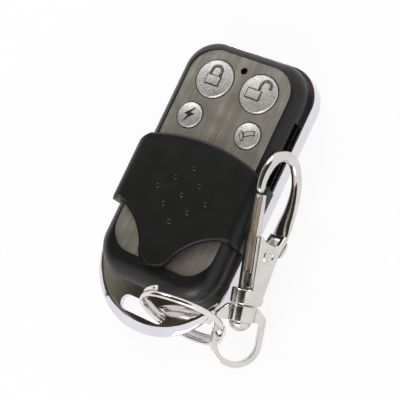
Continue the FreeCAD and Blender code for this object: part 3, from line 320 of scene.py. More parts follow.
for node, thing in frame["nodes"].items():
    thing.data.materials.clear()
    thing.data.materials.append(FINISH[slot_of_node[node]])
print("finishes:", len(FINISH))

# %% [markdown]
# ## Two ways to a clean edge
#
# A plated or moulded edge is always a little round, and that thin round catches the
# light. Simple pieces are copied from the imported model: the copy is merged, its flat
# faces made whole, and its sharp edges bevelled. The tray, the caps, the ring and the
# hook are bright metal, where every facet would show, so they are drawn anew from a
# rectangle, a profile or a row of sections.
#
# All shapes are drawn in millimetres and scaled once, when they become a piece. A
# weighted-normal modifier then keeps the flat faces flat and lets only the bevels bend
# the light.

# %% Helpers: from a shape to a piece
FLAT_WITHIN = 0.05  # degrees between two faces that count as one


def new_object(name, shape):
    """An object of the scene from a shape, which is used up."""
    mesh = bpy.data.meshes.new(name)
    shape.to_mesh(mesh)
    shape.free()
    thing = bpy.data.objects.new(name, mesh)
    bpy.context.scene.collection.objects.link(thing)
    return thing


def add_piece(name, shape, slots, body, replaced, sharp=40.0):
    """The finished shape, scaled to metres, as a piece that rides its body."""
    bmesh.ops.scale(shape, vec=(MM, MM, MM), verts=shape.verts)
    piece = new_object(name, shape)
    mesh = piece.data
    mesh.shade_smooth()
    mesh.set_sharp_from_angle(angle=math.radians(sharp))
    for slot in slots:
        mesh.materials.append(FINISH[slot])
    flat = piece.modifiers.new("flat_faces", "WEIGHTED_NORMAL")
    flat.keep_sharp = True
    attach(piece, body)
    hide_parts(*replaced)
    print(name, "has", len(mesh.polygons), "faces")


def solid_copy(node):
    """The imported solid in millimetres, as one merged mesh with its flat faces whole."""
    shape = bmesh.new()
    shape.from_mesh(frame["nodes"][node].data)
    bmesh.ops.scale(shape, vec=(1 / MM, 1 / MM, 1 / MM), verts=shape.verts)
    bmesh.ops.remove_doubles(shape, verts=shape.verts, dist=CLOSE)
    bmesh.ops.dissolve_limit(shape, angle_limit=math.radians(FLAT_WITHIN), verts=shape.verts,
                             edges=shape.edges)
    return shape


def round_edges(shape, radius, angle=35.0, steps=2, chosen=None, clamp=True):
    """Bevel the edges that are sharper than the angle, or only the chosen ones of them."""
    sharp = [edge for edge in shape.edges
             if len(edge.link_faces) == 2 and edge.calc_face_angle(0.0) > math.radians(angle)
             and (chosen is None or chosen(edge))]
    bmesh.ops.bevel(shape, geom=sharp, offset=radius, offset_type="OFFSET", segments=steps,
                    profile=0.5, affect="EDGES", clamp_overlap=clamp, material=-1)


def dress(node, name, radius, steps=2):
    """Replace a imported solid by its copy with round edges."""
    shape = solid_copy(node)
    round_edges(shape, radius, steps=steps)
    add_piece(name, shape, [slot_of_node[node]], body_of_node[node], (node,))


# %% Helpers: plain shapes, and ways to join them and to cut them
def risen_points(pulled):
    """The points that an extrusion has made."""
    return [part for part in pulled["geom"] if isinstance(part, bmesh.types.BMVert)]


def risen_faces(pulled):
    """The faces at the far end of an extrusion."""
    return [part for part in pulled["geom"] if isinstance(part, bmesh.types.BMFace)]


def rounded_slab(half_width, low, high, low_corner, high_corner, bottom, top, steps):
    """A rectangle about the middle line, its corners rounded, pulled up from bottom to top."""
    shape = bmesh.new()
    bmesh.ops.create_grid(shape, x_segments=1, y_segments=1, size=1.0)
    bmesh.ops.scale(shape, vec=(half_width, (high - low) / 2, 1), verts=shape.verts)
    bmesh.ops.translate(shape, vec=(0, (high + low) / 2, bottom), verts=shape.verts)
    for corner, side in ((low_corner, -1), (high_corner, 1)):
        middle = (high + low) / 2
        picked = [vert for vert in shape.verts if (vert.co.y - middle) * side > 0
                  and len(vert.link_edges) == 2 and abs(abs(vert.co.x) - half_width) < CLOSE
                  and abs(abs(vert.co.y - middle) - (high - low) / 2) < CLOSE]
        bmesh.ops.bevel(shape, geom=picked, offset=corner, offset_type="OFFSET", segments=steps,
                        profile=0.5, affect="VERTICES", material=-1)
    pulled = bmesh.ops.extrude_face_region(shape, geom=shape.faces[:])
    bmesh.ops.translate(shape, vec=(0, 0, top - bottom), verts=risen_points(pulled))
    bmesh.ops.recalc_face_normals(shape, faces=shape.faces)
    return shape


def cut_away(shape, cutters):
    """Take the cutters out of the shape with Boolean modifiers, by way of loose objects."""
    block = new_object("block", shape)
    tools = [new_object("cutter", cutter) for cutter in cutters]
    for tool in tools:
        cut = block.modifiers.new("cut", "BOOLEAN")
        cut.operation = "DIFFERENCE"
        cut.solver = "EXACT"
        cut.object = tool
    bpy.context.view_layer.update()
    result = bmesh.new()
    result.from_object(block, bpy.context.evaluated_depsgraph_get())
    for thing in [block, *tools]:
        bpy.data.objects.remove(thing)
    bmesh.ops.remove_doubles(result, verts=result.verts, dist=2 * CLOSE)
    return result


def cylinder(x, y, bottom, top, radius, steps=32):
    """An upright cylinder, for a cut or for a round base."""
    shape = bmesh.new()
    bmesh.ops.create_cone(shape, cap_ends=True, segments=steps, radius1=radius, radius2=radius,
                          depth=top - bottom)
    bmesh.ops.translate(shape, vec=(x, y, (top + bottom) / 2), verts=shape.verts)
    return shape


def spun(profile, steps):
    """A profile, as (radius, height), spun round the upright axis."""
    shape = bmesh.new()
    corners = [shape.verts.new((radius, 0.0, height)) for radius, height in profile]
    line = [shape.edges.new(pair) for pair in zip(corners, corners[1:])]
    bmesh.ops.spin(shape, geom=[*corners, *line], cent=(0, 0, 0), axis=(0, 0, 1), angle=math.tau,
                   steps=steps, use_merge=True)
    bmesh.ops.remove_doubles(shape, verts=shape.verts, dist=CLOSE)
    return shape


def join_to(whole, shape):
    """Add a shape to another one; the added shape is used up."""
    mesh = bpy.data.meshes.new("part")
    shape.to_mesh(mesh)
    shape.free()
    whole.from_mesh(mesh)
    bpy.data.meshes.remove(mesh)


# %% [markdown]
# ## The tray
#
# The back of the remote is one pressed and plated tray. Its lower end reaches past the
# black shell as a lip, which slopes gently outwards and carries a slot for the ring. The
# lip is thinner than the tray, so it stands clear of the table. Here the outline is a
# slab; its back edge gets a generous round and its upper edge a fine bead. The slope is
# made by insetting the top face in narrow steps and letting each step down by how far it
# lies outside the crease. The relief under the lip, the slot, the hollow and the screw
# seats are cut last, and then the slot gets its round rim.

# %% Tray
TRAY_HALF_WIDTH = 17.05
TRAY_LOW, TRAY_HIGH = -34.1, 34.8
TRAY_LOW_CORNER, TRAY_HIGH_CORNER = 16.75, 8.4
SEAM, BACK_ROUND, BEAD = 5.0, 1.2, 0.2
CREASE_CENTRE, CREASE_RADIUS, CREASE_SLOPE = -15.3, 16.8, 0.55
SLOPE_STEPS, SLOPE_STEP_WIDTH = 8, 0.4
LIP_START, LIP_UNDERSIDE = -26.0, 3.5
SLOT_Y, SLOT_HALF_LENGTH, SLOT_HALF_WIDTH, SLOT_ROUND = -29.05, 6.1, 1.75, 0.75
HOLLOW_HALF_WIDTH, HOLLOW_LOW, HOLLOW_HIGH = 15.15, -23.3, 33.3
HOLLOW_LOW_CORNER, HOLLOW_HIGH_CORNER, TRAY_FLOOR = 8.0, 6.9, 0.7
SCREW_X, SCREW_Y, SCREW_SEAT_RADIUS, SCREW_SEAT_DEPTH = 10.5, -4.0, 1.75, 1.2
BELOW, ABOVE = -1.0, 9.0  # where the cutting tools start and end, clear of the tray
STEEP = 60.0  # degrees at least between a wall and a level face
MARGIN = 0.1  # how far round the slot its rim is looked for


def at_height(shape, height):
    """The edges at one height that part a wall from a level face."""
    return [edge for edge in shape.edges
            if all(abs(vert.co.z - height) < CLOSE for vert in edge.verts)
            and edge.calc_face_angle(0.0) > math.radians(STEEP)]


def on_slot_rim(edge):
    """Whether an edge lies in the slot, above the underside of the lip."""
    return all(abs(vert.co.y - SLOT_Y) < SLOT_HALF_WIDTH + MARGIN
               and abs(vert.co.x) < SLOT_HALF_LENGTH + MARGIN
               and vert.co.z > LIP_UNDERSIDE + 2 * MARGIN for vert in edge.verts)


tray = rounded_slab(TRAY_HALF_WIDTH, TRAY_LOW, TRAY_HIGH, TRAY_LOW_CORNER, TRAY_HIGH_CORNER,
                    bottom=0.0, top=SEAM, steps=40)
for height, radius, steps in ((0.0, BACK_ROUND, 6), (SEAM, BEAD, 4)):
    bmesh.ops.bevel(tray, geom=at_height(tray, height), offset=radius, offset_type="OFFSET",
                    segments=steps, profile=0.5, affect="EDGES", material=-1)
top_face = max(tray.faces, key=lambda face: face.calc_center_median().z)
for _ in range(SLOPE_STEPS):
    bmesh.ops.inset_region(tray, faces=[top_face], thickness=SLOPE_STEP_WIDTH, use_even_offset=True)
for vert in tray.verts:
    if vert.co.z > LIP_UNDERSIDE and vert.co.y < CREASE_CENTRE:
        outside = math.hypot(vert.co.x, vert.co.y - CREASE_CENTRE) - CREASE_RADIUS
        vert.co.z -= CREASE_SLOPE * max(0.0, outside)
relief = rounded_slab(half_width=20.0, low=-40.0, high=LIP_START, low_corner=0.5, high_corner=0.5,
                      bottom=BELOW, top=LIP_UNDERSIDE, steps=2)
slot_end = SLOT_HALF_WIDTH - 0.01  # a hair less than a half circle, so that no two corners meet
slot = rounded_slab(SLOT_HALF_LENGTH, SLOT_Y - SLOT_HALF_WIDTH, SLOT_Y + SLOT_HALF_WIDTH,
                    slot_end, slot_end, BELOW, ABOVE, steps=16)
hollow = rounded_slab(HOLLOW_HALF_WIDTH, HOLLOW_LOW, HOLLOW_HIGH,
                      HOLLOW_LOW_CORNER, HOLLOW_HIGH_CORNER, TRAY_FLOOR, ABOVE, steps=12)
seats = [cylinder(side * SCREW_X, SCREW_Y, BELOW, SCREW_SEAT_DEPTH, SCREW_SEAT_RADIUS)
         for side in (-1, 1)]
tray = cut_away(tray, [relief, slot, hollow, *seats])
round_edges(tray, SLOT_ROUND, angle=50.0, steps=6, chosen=on_slot_rim)
add_piece("tray", tray, ["chrome_tray"], "case", ("back_shell",))

# %% [markdown]
# ## The plate and the cover
#
# The plate is a thin sheet with holes for the caps. The cover is a moulded bridge: its
# upper edge is rounded, its lower edge cut at a slant, and the floors of its nine dimples
# are smoother than its skin, so they glint. A bevel with several segments makes a round,
# and one with a single segment a slant.

# %% Plate and cover
COVER_TOP, DIMPLE_FLOOR, DIMPLE_ROUND = 11.6, 11.35, 0.2
NEAR_FLOOR, NEAR_TOP = 0.01, 0.03  # how close a height has to be to count as floor or top
DIMPLES_Y, DIMPLES_REACH = -2.7, 8.0  # the middle and the radius of the field of dimples
EDGE_DEPTH = 2.6  # how far the rim falls below the top, because the cover is arched
UPPER_ROUND, LOWER_SLANT, FINE_ROUND = 0.5, 0.65, 0.12


def among_dimples(place):
    """Whether a point of the cover lies in the field of dimples."""
    return math.hypot(place.x, place.y - DIMPLES_Y) < DIMPLES_REACH


def on_rim(edge, end):
    """Whether an edge lies on the cover's rim, at its upper (1) or lower (-1) end."""
    return (all(vert.co.z > COVER_TOP - EDGE_DEPTH and vert.co.y * end > 0 for vert in edge.verts)
            and not all(among_dimples(vert.co) for vert in edge.verts))


def on_dimple_floor(edge):
    """Whether an edge goes round the floor of a dimple."""
    return all(abs(vert.co.z - DIMPLE_FLOOR) < NEAR_FLOOR for vert in edge.verts)


dress("face_plate", "plate", radius=0.08)
cover = solid_copy("slide_cover")
round_edges(cover, DIMPLE_ROUND, steps=4, chosen=on_dimple_floor)
round_edges(cover, UPPER_ROUND, angle=45.0, steps=4, clamp=False,
            chosen=lambda edge: on_rim(edge, 1))
round_edges(cover, LOWER_SLANT, angle=45.0, steps=1, clamp=False,
            chosen=lambda edge: on_rim(edge, -1))
round_edges(cover, FINE_ROUND)
for face in cover.faces:  # the floors and their round walls, but not the skin between them
    middle = face.calc_center_median()
    if DIMPLE_FLOOR - NEAR_FLOOR < middle.z < COVER_TOP - NEAR_TOP and among_dimples(middle):
        face.material_index = 1
add_piece("cover", cover, ["black_cover", "dimple_gloss"], "cover", ("slide_cover",))

# %% [markdown]
# ## The keys and their pictograms
#
# Each cap is turned, so its profile is spun round its own middle: a slightly domed top, a
# bright chamfer, a wall and a thin flange that keeps it under the plate. The wall, the
# flange and the stem below the chamfer are painted dark, as painted shade.
#
# The two large keys show a closed and an open padlock, the small ones a lightning bolt
# and a horn. They stand a little proud of the blasted cap, with sloping sides painted dark
# as painted shade. Each is a flat face, pulled up from inside the cap, whose top is inset
# and lifted, so the inset's border becomes the slope painted dark.

# %% Helpers: flat shapes for pictograms
SLOPE_HEIGHT = 0.12  # how far the sloping sides of a pictogram rise
BAND_STEPS = 14


def flat_polygon(shape, corners):
    """One face from its corners."""
    shape.faces.new([shape.verts.new((x, y, 0.0)) for x, y in corners])


def flat_band(shape, x, y, radius, width, first, last):
    """An arc-shaped band, spun from a short line."""
    start = math.radians(first)
    ends = [shape.verts.new((x + (radius + side * width / 2) * math.cos(start),
                             y + (radius + side * width / 2) * math.sin(start), 0.0))
            for side in (-1, 1)]
    line = shape.edges.new(ends)
    bmesh.ops.spin(shape, geom=[line, *ends], cent=(x, y, 0), axis=(0, 0, 1),
                   angle=math.radians(last - first), steps=BAND_STEPS, use_merge=False)


def lift_icon(shape, low, high, slope):
    """Pull the flat faces up from inside the cap and inset them, so their sides slope."""
    bmesh.ops.remove_doubles(shape, verts=shape.verts, dist=CLOSE)
    bmesh.ops.recalc_face_normals(shape, faces=shape.faces)
    for face in shape.faces:
        if face.normal.z < 0:
            face.normal_flip()
    pulled = bmesh.ops.extrude_face_region(shape, geom=shape.faces[:])
    tops = risen_faces(pulled)
    bmesh.ops.translate(shape, vec=(0, 0, high - SLOPE_HEIGHT - low), verts=risen_points(pulled))
    slopes = bmesh.ops.inset_region(shape, faces=tops, thickness=slope, depth=SLOPE_HEIGHT,
                                    use_even_offset=True)
    # the sloping sides get the dark finish: painted shade
    for face in slopes["faces"]:
        face.material_index = 1
    bmesh.ops.translate(shape, vec=(0, 0, low), verts=shape.verts)


# %% Helpers: a turned cap, and a pictogram on it
CAP_CENTRE, CAP_DOME, ICON_TOP = 10.62, 0.30, 10.76
CHAMFER_WIDTH, CHAMFER_DEPTH, SHADE_PAINTED_BELOW = 0.28, 0.26, 0.3
FLANGE_TOP, FLANGE_BOTTOM, FLANGE_REACH = 9.3, 8.9, 0.6
STEM_RADIUS, STEM_BOTTOM = 1.6, 7.0


def turned_cap(radius):
    """The cap's half profile, from its domed top outwards and down, spun round its own middle."""
    rim, edge = radius - CHAMFER_WIDTH, CAP_CENTRE - CAP_DOME
    profile = [(rim * part, CAP_CENTRE - CAP_DOME * part * part)
               for part in (0.0, 0.25, 0.5, 0.75, 0.9, 1.0)]
    profile += [(radius - 0.03, edge - 0.2), (radius, edge - CHAMFER_DEPTH), (radius, FLANGE_TOP),
                (radius + FLANGE_REACH, FLANGE_TOP), (radius + FLANGE_REACH, FLANGE_BOTTOM),
                (STEM_RADIUS, FLANGE_BOTTOM), (STEM_RADIUS, STEM_BOTTOM), (0.0, STEM_BOTTOM)]
    shape = spun(profile, steps=72)
    bmesh.ops.recalc_face_normals(shape, faces=shape.faces)
    # the wall under the chamfer, the flange and the stem get the dark finish: painted shade
    for face in shape.faces:
        if face.calc_center_median().z < edge - SHADE_PAINTED_BELOW:
            face.material_index = 1
    return shape


def add_icon(cap, draw, slope, filled):
    """Draw a pictogram as its own shape, raise it, make it dark if filled, and add it to the cap."""
    icon = bmesh.new()
    draw(icon)
    lift_icon(icon, CAP_CENTRE - CAP_DOME, ICON_TOP, slope)
    if filled:
        for face in icon.faces:
            face.material_index = 1
    join_to(cap, icon)


# %% The pictograms, each drawn about the middle of its cap, and the keys
LOCK_HALF_WIDTH, LOCK_HALF_HEIGHT = 1.9, 1.25
SHACKLE_RADIUS, SHACKLE_HALF_BAND = 1.25, 0.31


def padlock_body(shape, x, y):
    """The case of the lock, a plain rectangle."""
    flat_polygon(shape, [(x + side * LOCK_HALF_WIDTH, y + end * LOCK_HALF_HEIGHT)
                         for side, end in ((-1, -1), (1, -1), (1, 1), (-1, 1))])


def shackle(shape, x, y, left_foot, right_foot):
    """An arch with two straight legs, drawn as one band."""
    flat_band(shape, x, y, SHACKLE_RADIUS, 2 * SHACKLE_HALF_BAND, 0, 180)
    for side, foot in ((-1, left_foot), (1, right_foot)):
        leg = x + side * SHACKLE_RADIUS
        flat_polygon(shape, [(leg - SHACKLE_HALF_BAND, foot), (leg + SHACKLE_HALF_BAND, foot),
                             (leg + SHACKLE_HALF_BAND, y), (leg - SHACKLE_HALF_BAND, y)])


def lightning(shape):
    """A bolt with two points and two notches."""
    flat_polygon(shape, [(-0.8, -1.85), (1.3, 0.5), (0.25, 0.6), (0.85, 1.95), (-1.3, -0.1),
                         (-0.25, -0.2)])


def horn_mouth(shape):
    """The bell of the horn, a flat oval across its axis."""
    bmesh.ops.create_circle(shape, cap_ends=True, segments=24, radius=1.0)
    bmesh.ops.scale(shape, vec=(0.5, 1.3, 1), verts=shape.verts)
    leaning = Matrix.Rotation(math.radians(30), 3, "Z")
    bmesh.ops.rotate(shape, cent=(0, 0, 0), matrix=leaning, verts=shape.verts)
    bmesh.ops.translate(shape, vec=(-1.05, -0.5, 0), verts=shape.verts)


def horn_body(shape):
    """The rest of the horn, in one outline."""
    flat_polygon(shape, [(-0.45, -0.75), (1.2, 0.25), (1.85, 0.25), (1.6, 1.45), (0.65, 1.35),
                         (-1.0, 0.45)])


# each key's place across and along, its radius, and how wide its pictogram's slopes are
KEYS = {
    "lock": (-5.93, 24.86, 4.6, 0.26),
    "unlock": (5.93, 24.86, 4.6, 0.26),
    "bolt": (-7.8, 15.1, 3.09, 0.2),
    "horn": (7.8, 15.1, 3.09, 0.2),
}
ICONS = {
    "lock": [lambda shape: padlock_body(shape, -0.07, -0.45),
             lambda shape: shackle(shape, 0.0, 1.85, 0.86, 0.86)],
    "unlock": [lambda shape: padlock_body(shape, -1.0, -0.5),
               lambda shape: shackle(shape, 1.15, 2.1, 0.8, 1.5)],
    "bolt": [lightning],
    "horn": [horn_mouth, horn_body],
}
for key, (x, y, radius, slope) in KEYS.items():
    cap = turned_cap(radius)
    for draw in ICONS[key]:
        add_icon(cap, draw, slope, filled=key == "bolt")
    bmesh.ops.translate(cap, vec=(x, y, 0), verts=cap.verts)
    add_piece(key + "_cap", cap, ["button_metal", "dark_fill_and_painted_shade"], key + "_key", (key + "_button",),
              sharp=28.0)

# %% [markdown]
# ## The split ring
#
# A split ring is one slightly oval wire in two turns that lie tight on each other. Over a
# quarter of a turn the wire steps from the first turn to the second, and its two cut ends
# stop just short of that step. The wire is swept: a round face, made oval, is pulled from
# place to place along the path.

# %% Ring
RING_CENTRE = (12.0783, -26.802, 9.7789)
RING_RADIUS, RING_RISE = 9.64, 1.43
WIRE_RADIAL, WIRE_AXIAL, WIRE_SIDES = 0.5, 0.66, 28
STEP_START, STEP_END, END_GAP, TURN_STEP = 101, 191, 14, 4  # degrees along the wire
RING_HEADING, RING_LEAN = -86.3, 73.55
ring_frame = (Matrix.Translation(RING_CENTRE) @ Matrix.Rotation(math.radians(RING_HEADING), 4, "Z")
              @ Matrix.Rotation(math.radians(RING_LEAN), 4, "Y"))


def pulled_through(frames):
    """A round face pulled through a row of places."""
    shape = bmesh.new()
    bmesh.ops.create_circle(shape, cap_ends=True, segments=WIRE_SIDES, radius=1.0)
    bmesh.ops.transform(shape, matrix=frames[0], verts=shape.verts)
    cap = shape.faces[:]
    for before, after in zip(frames, frames[1:]):
        pulled = bmesh.ops.extrude_face_region(shape, geom=cap)
        cap = risen_faces(pulled)
        bmesh.ops.transform(shape, matrix=after @ before.inverted_safe(), verts=risen_points(pulled))
    bmesh.ops.recalc_face_normals(shape, faces=shape.faces)
    return shape


def wire_place(angle):
    """Where the wire's section stands at one angle of its way."""
    share = min(1.0, max(0.0, (angle - STEP_START) / (STEP_END - STEP_START)))
    rise = RING_RISE * (share * share * (3 - 2 * share) - 0.5)  # soft at both ends of the step
    turn = math.radians(angle)
    side = Vector((math.cos(turn), math.sin(turn), 0))
    ahead = Vector((-math.sin(turn), math.cos(turn), 0))
    return Matrix((
        (side.x * WIRE_RADIAL, 0, ahead.x, side.x * RING_RADIUS),
        (side.y * WIRE_RADIAL, 0, ahead.y, side.y * RING_RADIUS),
        (0, WIRE_AXIAL, 0, rise),
        (0, 0, 0, 1)))


first_angle, last_angle = STEP_END + END_GAP - 360, STEP_START + 360 - END_GAP
ring = pulled_through([wire_place(angle) for angle in range(first_angle, last_angle + 1, TURN_STEP)])
round_edges(ring, radius=0.15, angle=50.0)
bmesh.ops.transform(ring, matrix=ring_frame, verts=ring.verts)
add_piece("ring", ring, ["ring_nickel"], "ring", ("split_ring",))

# %% [markdown]
# ## The snap hook
#
# The hook is drawn in its own frame: across, along and through its cheeks. Its body is a
# pair of cheeks over a short round base, with a bar that grows out of both cheeks and
# bends round to a narrow tip. The bar is swept: a round face is pulled from section to
# section, and each new face is moved into the next section's place. The gate lever is a
# strip whose outer side carries a channel between two round ridges.

# %% Helpers: the hook's own frame
HOOK_PLACE = (21.4598, -7.9625, 7.4369)
HOOK_ACROSS = (0.412335, 0.296162, -0.861549)
HOOK_ALONG = (-0.156746, 0.954645, 0.253146)
HOOK_THROUGH = (0.897446, 0.030664, 0.440057)
hook_turned = Matrix((HOOK_ACROSS, HOOK_ALONG, HOOK_THROUGH)).transposed().to_4x4()
hook_frame = Matrix.Translation(HOOK_PLACE) @ hook_turned


def prism(corners, half_depth):
    """A closed outline, pulled to both sides of its plane."""
    shape = bmesh.new()
    shape.faces.new([shape.verts.new((x, y, -half_depth)) for x, y in corners])
    pulled = bmesh.ops.extrude_face_region(shape, geom=shape.faces[:])
    bmesh.ops.translate(shape, vec=(0, 0, 2 * half_depth), verts=risen_points(pulled))
    bmesh.ops.recalc_face_normals(shape, faces=shape.faces)
    return shape


def gathered(*shapes):
    """Several shapes as one."""
    whole = bmesh.new()
    for shape in shapes:
        join_to(whole, shape)
    return whole


def along_hook(shape):
    """From the hook's own frame into the remote's."""
    bmesh.ops.transform(shape, matrix=hook_frame, verts=shape.verts)
    return shape


def section_frame(across, along, heading, half_in_plane, half_through):
    """Where a unit circle goes to become one section of the bar."""
    turn = math.radians(heading)
    return Matrix((
        (-math.sin(turn) * half_in_plane, 0, math.cos(turn), across),
        (math.cos(turn) * half_in_plane, 0, math.sin(turn), along),
        (0, half_through, 0, 0),
        (0, 0, 0, 1)))


def smooth_between(rows, steps):
    """More rows along a curve through the given rows, each stretch led by its two neighbours."""
    padded = [rows[0], *rows, rows[-1]]
    result = []
    for before, start, end, after in zip(padded, padded[1:], padded[2:], padded[3:]):
        for step in range(steps):
            share = step / steps
            result.append([0.5 * (2 * b + (c - a) * share + (2 * a - 5 * b + 4 * c - d) * share ** 2
                                  + (3 * b - a - 3 * c + d) * share ** 3)
                           for a, b, c, d in zip(before, start, end, after)])
    return result + [list(rows[-1])]


# %% Hook: outlines as (across, along), sections as (across, along, heading, two half sizes)
CHEEK_HALF_WIDTH, CHANNEL_HALF_WIDTH = 2.7, 1.35
BASE_ACROSS, BASE_TOP, BASE_HEIGHT, BASE_RADIUS = -2.0, -7.5, 3.4, 2.95
cheek_outline = [
    (-2.1, -10.9), (0.8, -10.9), (1.4, -10.2), (1.2, -9.1), (1.7, -6.6), (2.3, -4.0), (2.7, -2.0),
    (3.2, 0.0), (3.6, 1.0), (4.3, 2.4), (5.2, 4.6), (4.2, 4.9), (3.0, 2.8), (1.7, 2.3), (0.2, 2.8),
    (-1.1, 3.4), (-2.3, 4.4), (-2.7, 3.9)]
channel_outline = [(-6.0, -7.5), (6.5, -7.5), (6.5, 4.0), (3.6, 4.0), (2.6, 5.5), (-6.0, 5.5)]
bar_sections = [
    (4.75, 4.3, 62.0, 0.75, 2.6), (5.55, 7.0, 72.0, 1.15, 2.3), (6.35, 10.2, 80.0, 1.1, 1.8),
    (6.8, 13.7, 88.0, 1.1, 1.4), (6.6, 16.8, 99.0, 1.1, 1.2), (5.4, 20.0, 124.0, 1.15, 1.15),
    (3.8, 21.5, 152.0, 1.2, 1.2), (1.9, 21.95, 182.0, 1.22, 1.22), (0.2, 21.4, 210.0, 1.2, 1.2),
    (-1.2, 20.1, 232.0, 1.15, 1.15), (-2.3, 18.1, 248.0, 1.1, 1.1), (-2.9, 16.0, 260.0, 1.0, 1.0),
    (-3.0, 14.1, 270.0, 0.9, 0.9), (-2.9, 13.35, 270.0, 0.55, 0.55)]
cheeks = cut_away(prism(cheek_outline, CHEEK_HALF_WIDTH),
                  [prism(channel_outline, CHANNEL_HALF_WIDTH)])
round_edges(cheeks, radius=0.3, angle=50.0, steps=3)
base = cylinder(0.0, 0.0, 0.0, BASE_HEIGHT, BASE_RADIUS, steps=64)
base_frame = (Matrix.Translation((BASE_ACROSS, BASE_TOP, 0.0))
              @ Matrix.Rotation(math.radians(90), 4, "X"))
bmesh.ops.transform(base, matrix=base_frame, verts=base.verts)
round_edges(base, radius=0.4, angle=50.0, steps=4)
bar = pulled_through([section_frame(*section) for section in smooth_between(bar_sections, steps=6)])
round_edges(bar, radius=0.3, angle=50.0, steps=3)
add_piece("hook", along_hook(gathered(cheeks, base, bar)), ["clasp_nickel"], "hook", ("hook_body",))

# %% Gate lever: a strip with a thumb tab
LEVER_HALF_WIDTH, THUMB_HALF_WIDTH = 1.23, 2.58
PIN_ACROSS, PIN_HOLE_RADIUS = 0.6, 0.95
CHANNEL_RIDGE, CHANNEL_WALL, CHANNEL_DEPTH = 0.42, 0.12, 0.3
OUTER_SIDE, THUMB_SIDE, HOLE_MARGIN = -2.4, 2.0, 0.05
strip_outline = [
    (-2.5, -4.0), (-1.1, -4.0), (-0.9, -2.2), (0.4, -1.8), (2.5, -0.7), (4.2, 0.4), (4.9, 1.5),
    (5.2, 2.6), (5.1, 3.3), (3.6, 2.4), (1.6, 1.9), (0.0, 2.4), (-1.4, 3.8), (-2.0, 13.0),
    (-3.0, 13.0), (-2.9, 3.9)]
thumb_outline = [
    (3.4, -0.2), (4.4, 0.3), (5.1, 1.4), (5.4, 2.6), (5.3, 3.6), (4.45, 2.3), (3.75, 0.9)]


def clear_of_thumb_and_pin(edge):
    """Whether an edge lies neither on the thumb's side nor round the pin's hole."""
    return (all(vert.co.x < THUMB_SIDE for vert in edge.verts)
            and not all(math.hypot(vert.co.x - PIN_ACROSS, vert.co.y) < PIN_HOLE_RADIUS + HOLE_MARGIN
                        for vert in edge.verts))


strip = prism(strip_outline, LEVER_HALF_WIDTH)
strip = cut_away(strip, [cylinder(PIN_ACROSS, 0.0, bottom=-2.0, top=2.0, radius=PIN_HOLE_RADIUS)])
outer_side = [face for face in strip.faces if abs(face.normal.z) < 0.1 and face.normal.x < -0.9
              and face.calc_center_median().x < OUTER_SIDE]  # they look outwards and lie far out
bmesh.ops.inset_region(strip, faces=outer_side, thickness=CHANNEL_RIDGE, use_even_offset=True)
bmesh.ops.inset_region(strip, faces=outer_side, thickness=CHANNEL_WALL, depth=-CHANNEL_DEPTH,
                       use_even_offset=True)
# the floor of the channel takes the warm brown finish
for face in outer_side:
    face.material_index = 1
round_edges(strip, radius=0.16, angle=40.0, steps=3, chosen=clear_of_thumb_and_pin)
thumb = prism(thumb_outline, THUMB_HALF_WIDTH)
round_edges(thumb, radius=0.35, angle=40.0, steps=3)
lever = along_hook(gathered(strip, thumb))
add_piece("lever", lever, ["clasp_nickel", "warm_channel"], "gate", ("gate_lever",))

# %% [markdown]
# ## The pin, the eye and the rivet
#
# The pin that the lever turns on has a small dished head at both ends. One half of it is
# spun, and the same half is turned over for the other end. The eye and the rivet are
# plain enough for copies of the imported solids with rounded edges.

# %% Pin: half of its profile, as (radius, through)
pin_profile = [
    (0.0, 2.35), (0.45, 2.42), (0.8, 2.72), (0.95, 2.9), (1.1, 2.98), (1.3, 2.97), (1.5, 2.86),
    (1.6, 2.7), (1.6, 2.66), (0.9, 2.66), (0.9, 0.0)]
halves = []
for side in (1, -1):
    half = spun(pin_profile, steps=40)
    if side < 0:
        turned_over = Matrix.Rotation(math.radians(180), 3, "X")
        bmesh.ops.rotate(half, cent=(0, 0, 0), matrix=turned_over, verts=half.verts)
    halves.append(half)
pin = gathered(*halves)
bmesh.ops.remove_doubles(pin, verts=pin.verts, dist=CLOSE)
bmesh.ops.recalc_face_normals(pin, faces=pin.faces)
bmesh.ops.translate(pin, vec=(PIN_ACROSS, 0, 0), verts=pin.verts)
add_piece("pin", along_hook(pin), ["clasp_nickel"], "hook", ("gate_pin",))

# %% Eye and rivet
dress("swivel_eye", "eye", radius=0.25, steps=3)
dress("swivel_rivet", "rivet", radius=0.1)

# %% [markdown]
# ## The table and the studio
#
# The remote lies on a plain white table in a white room. The camera, and everything that
# mirrors or lets light through, sees both as white, but a part of what the table shows is
# still its own lit colour, so the shadow under the remote stays.

# %% Helpers: a sheet, and what is seen as white
def sheet(width, depth, place=(0.0, 0.0, 0.0)):
    """A flat rectangle, in metres."""
    shape = bmesh.new()
    bmesh.ops.create_grid(shape, x_segments=1, y_segments=1, size=0.5)
    bmesh.ops.scale(shape, vec=(width, depth, 1), verts=shape.verts)
    bmesh.ops.translate(shape, vec=place, verts=shape.verts)
    return shape


def direct_sight(tree):
    """One for rays from the camera, from a mirror or through glass, and zero for soft light."""
    seen = add_node(tree, "ShaderNodeLightPath").outputs
    near = add_node(tree, "ShaderNodeMath", [(0, seen["Is Camera Ray"]), (1, seen["Is Glossy Ray"])],
                    operation="MAXIMUM")
    return add_node(tree, "ShaderNodeMath", [(0, near.outputs[0]), (1, seen["Is Transmission Ray"])],
                    operation="MAXIMUM").outputs[0]


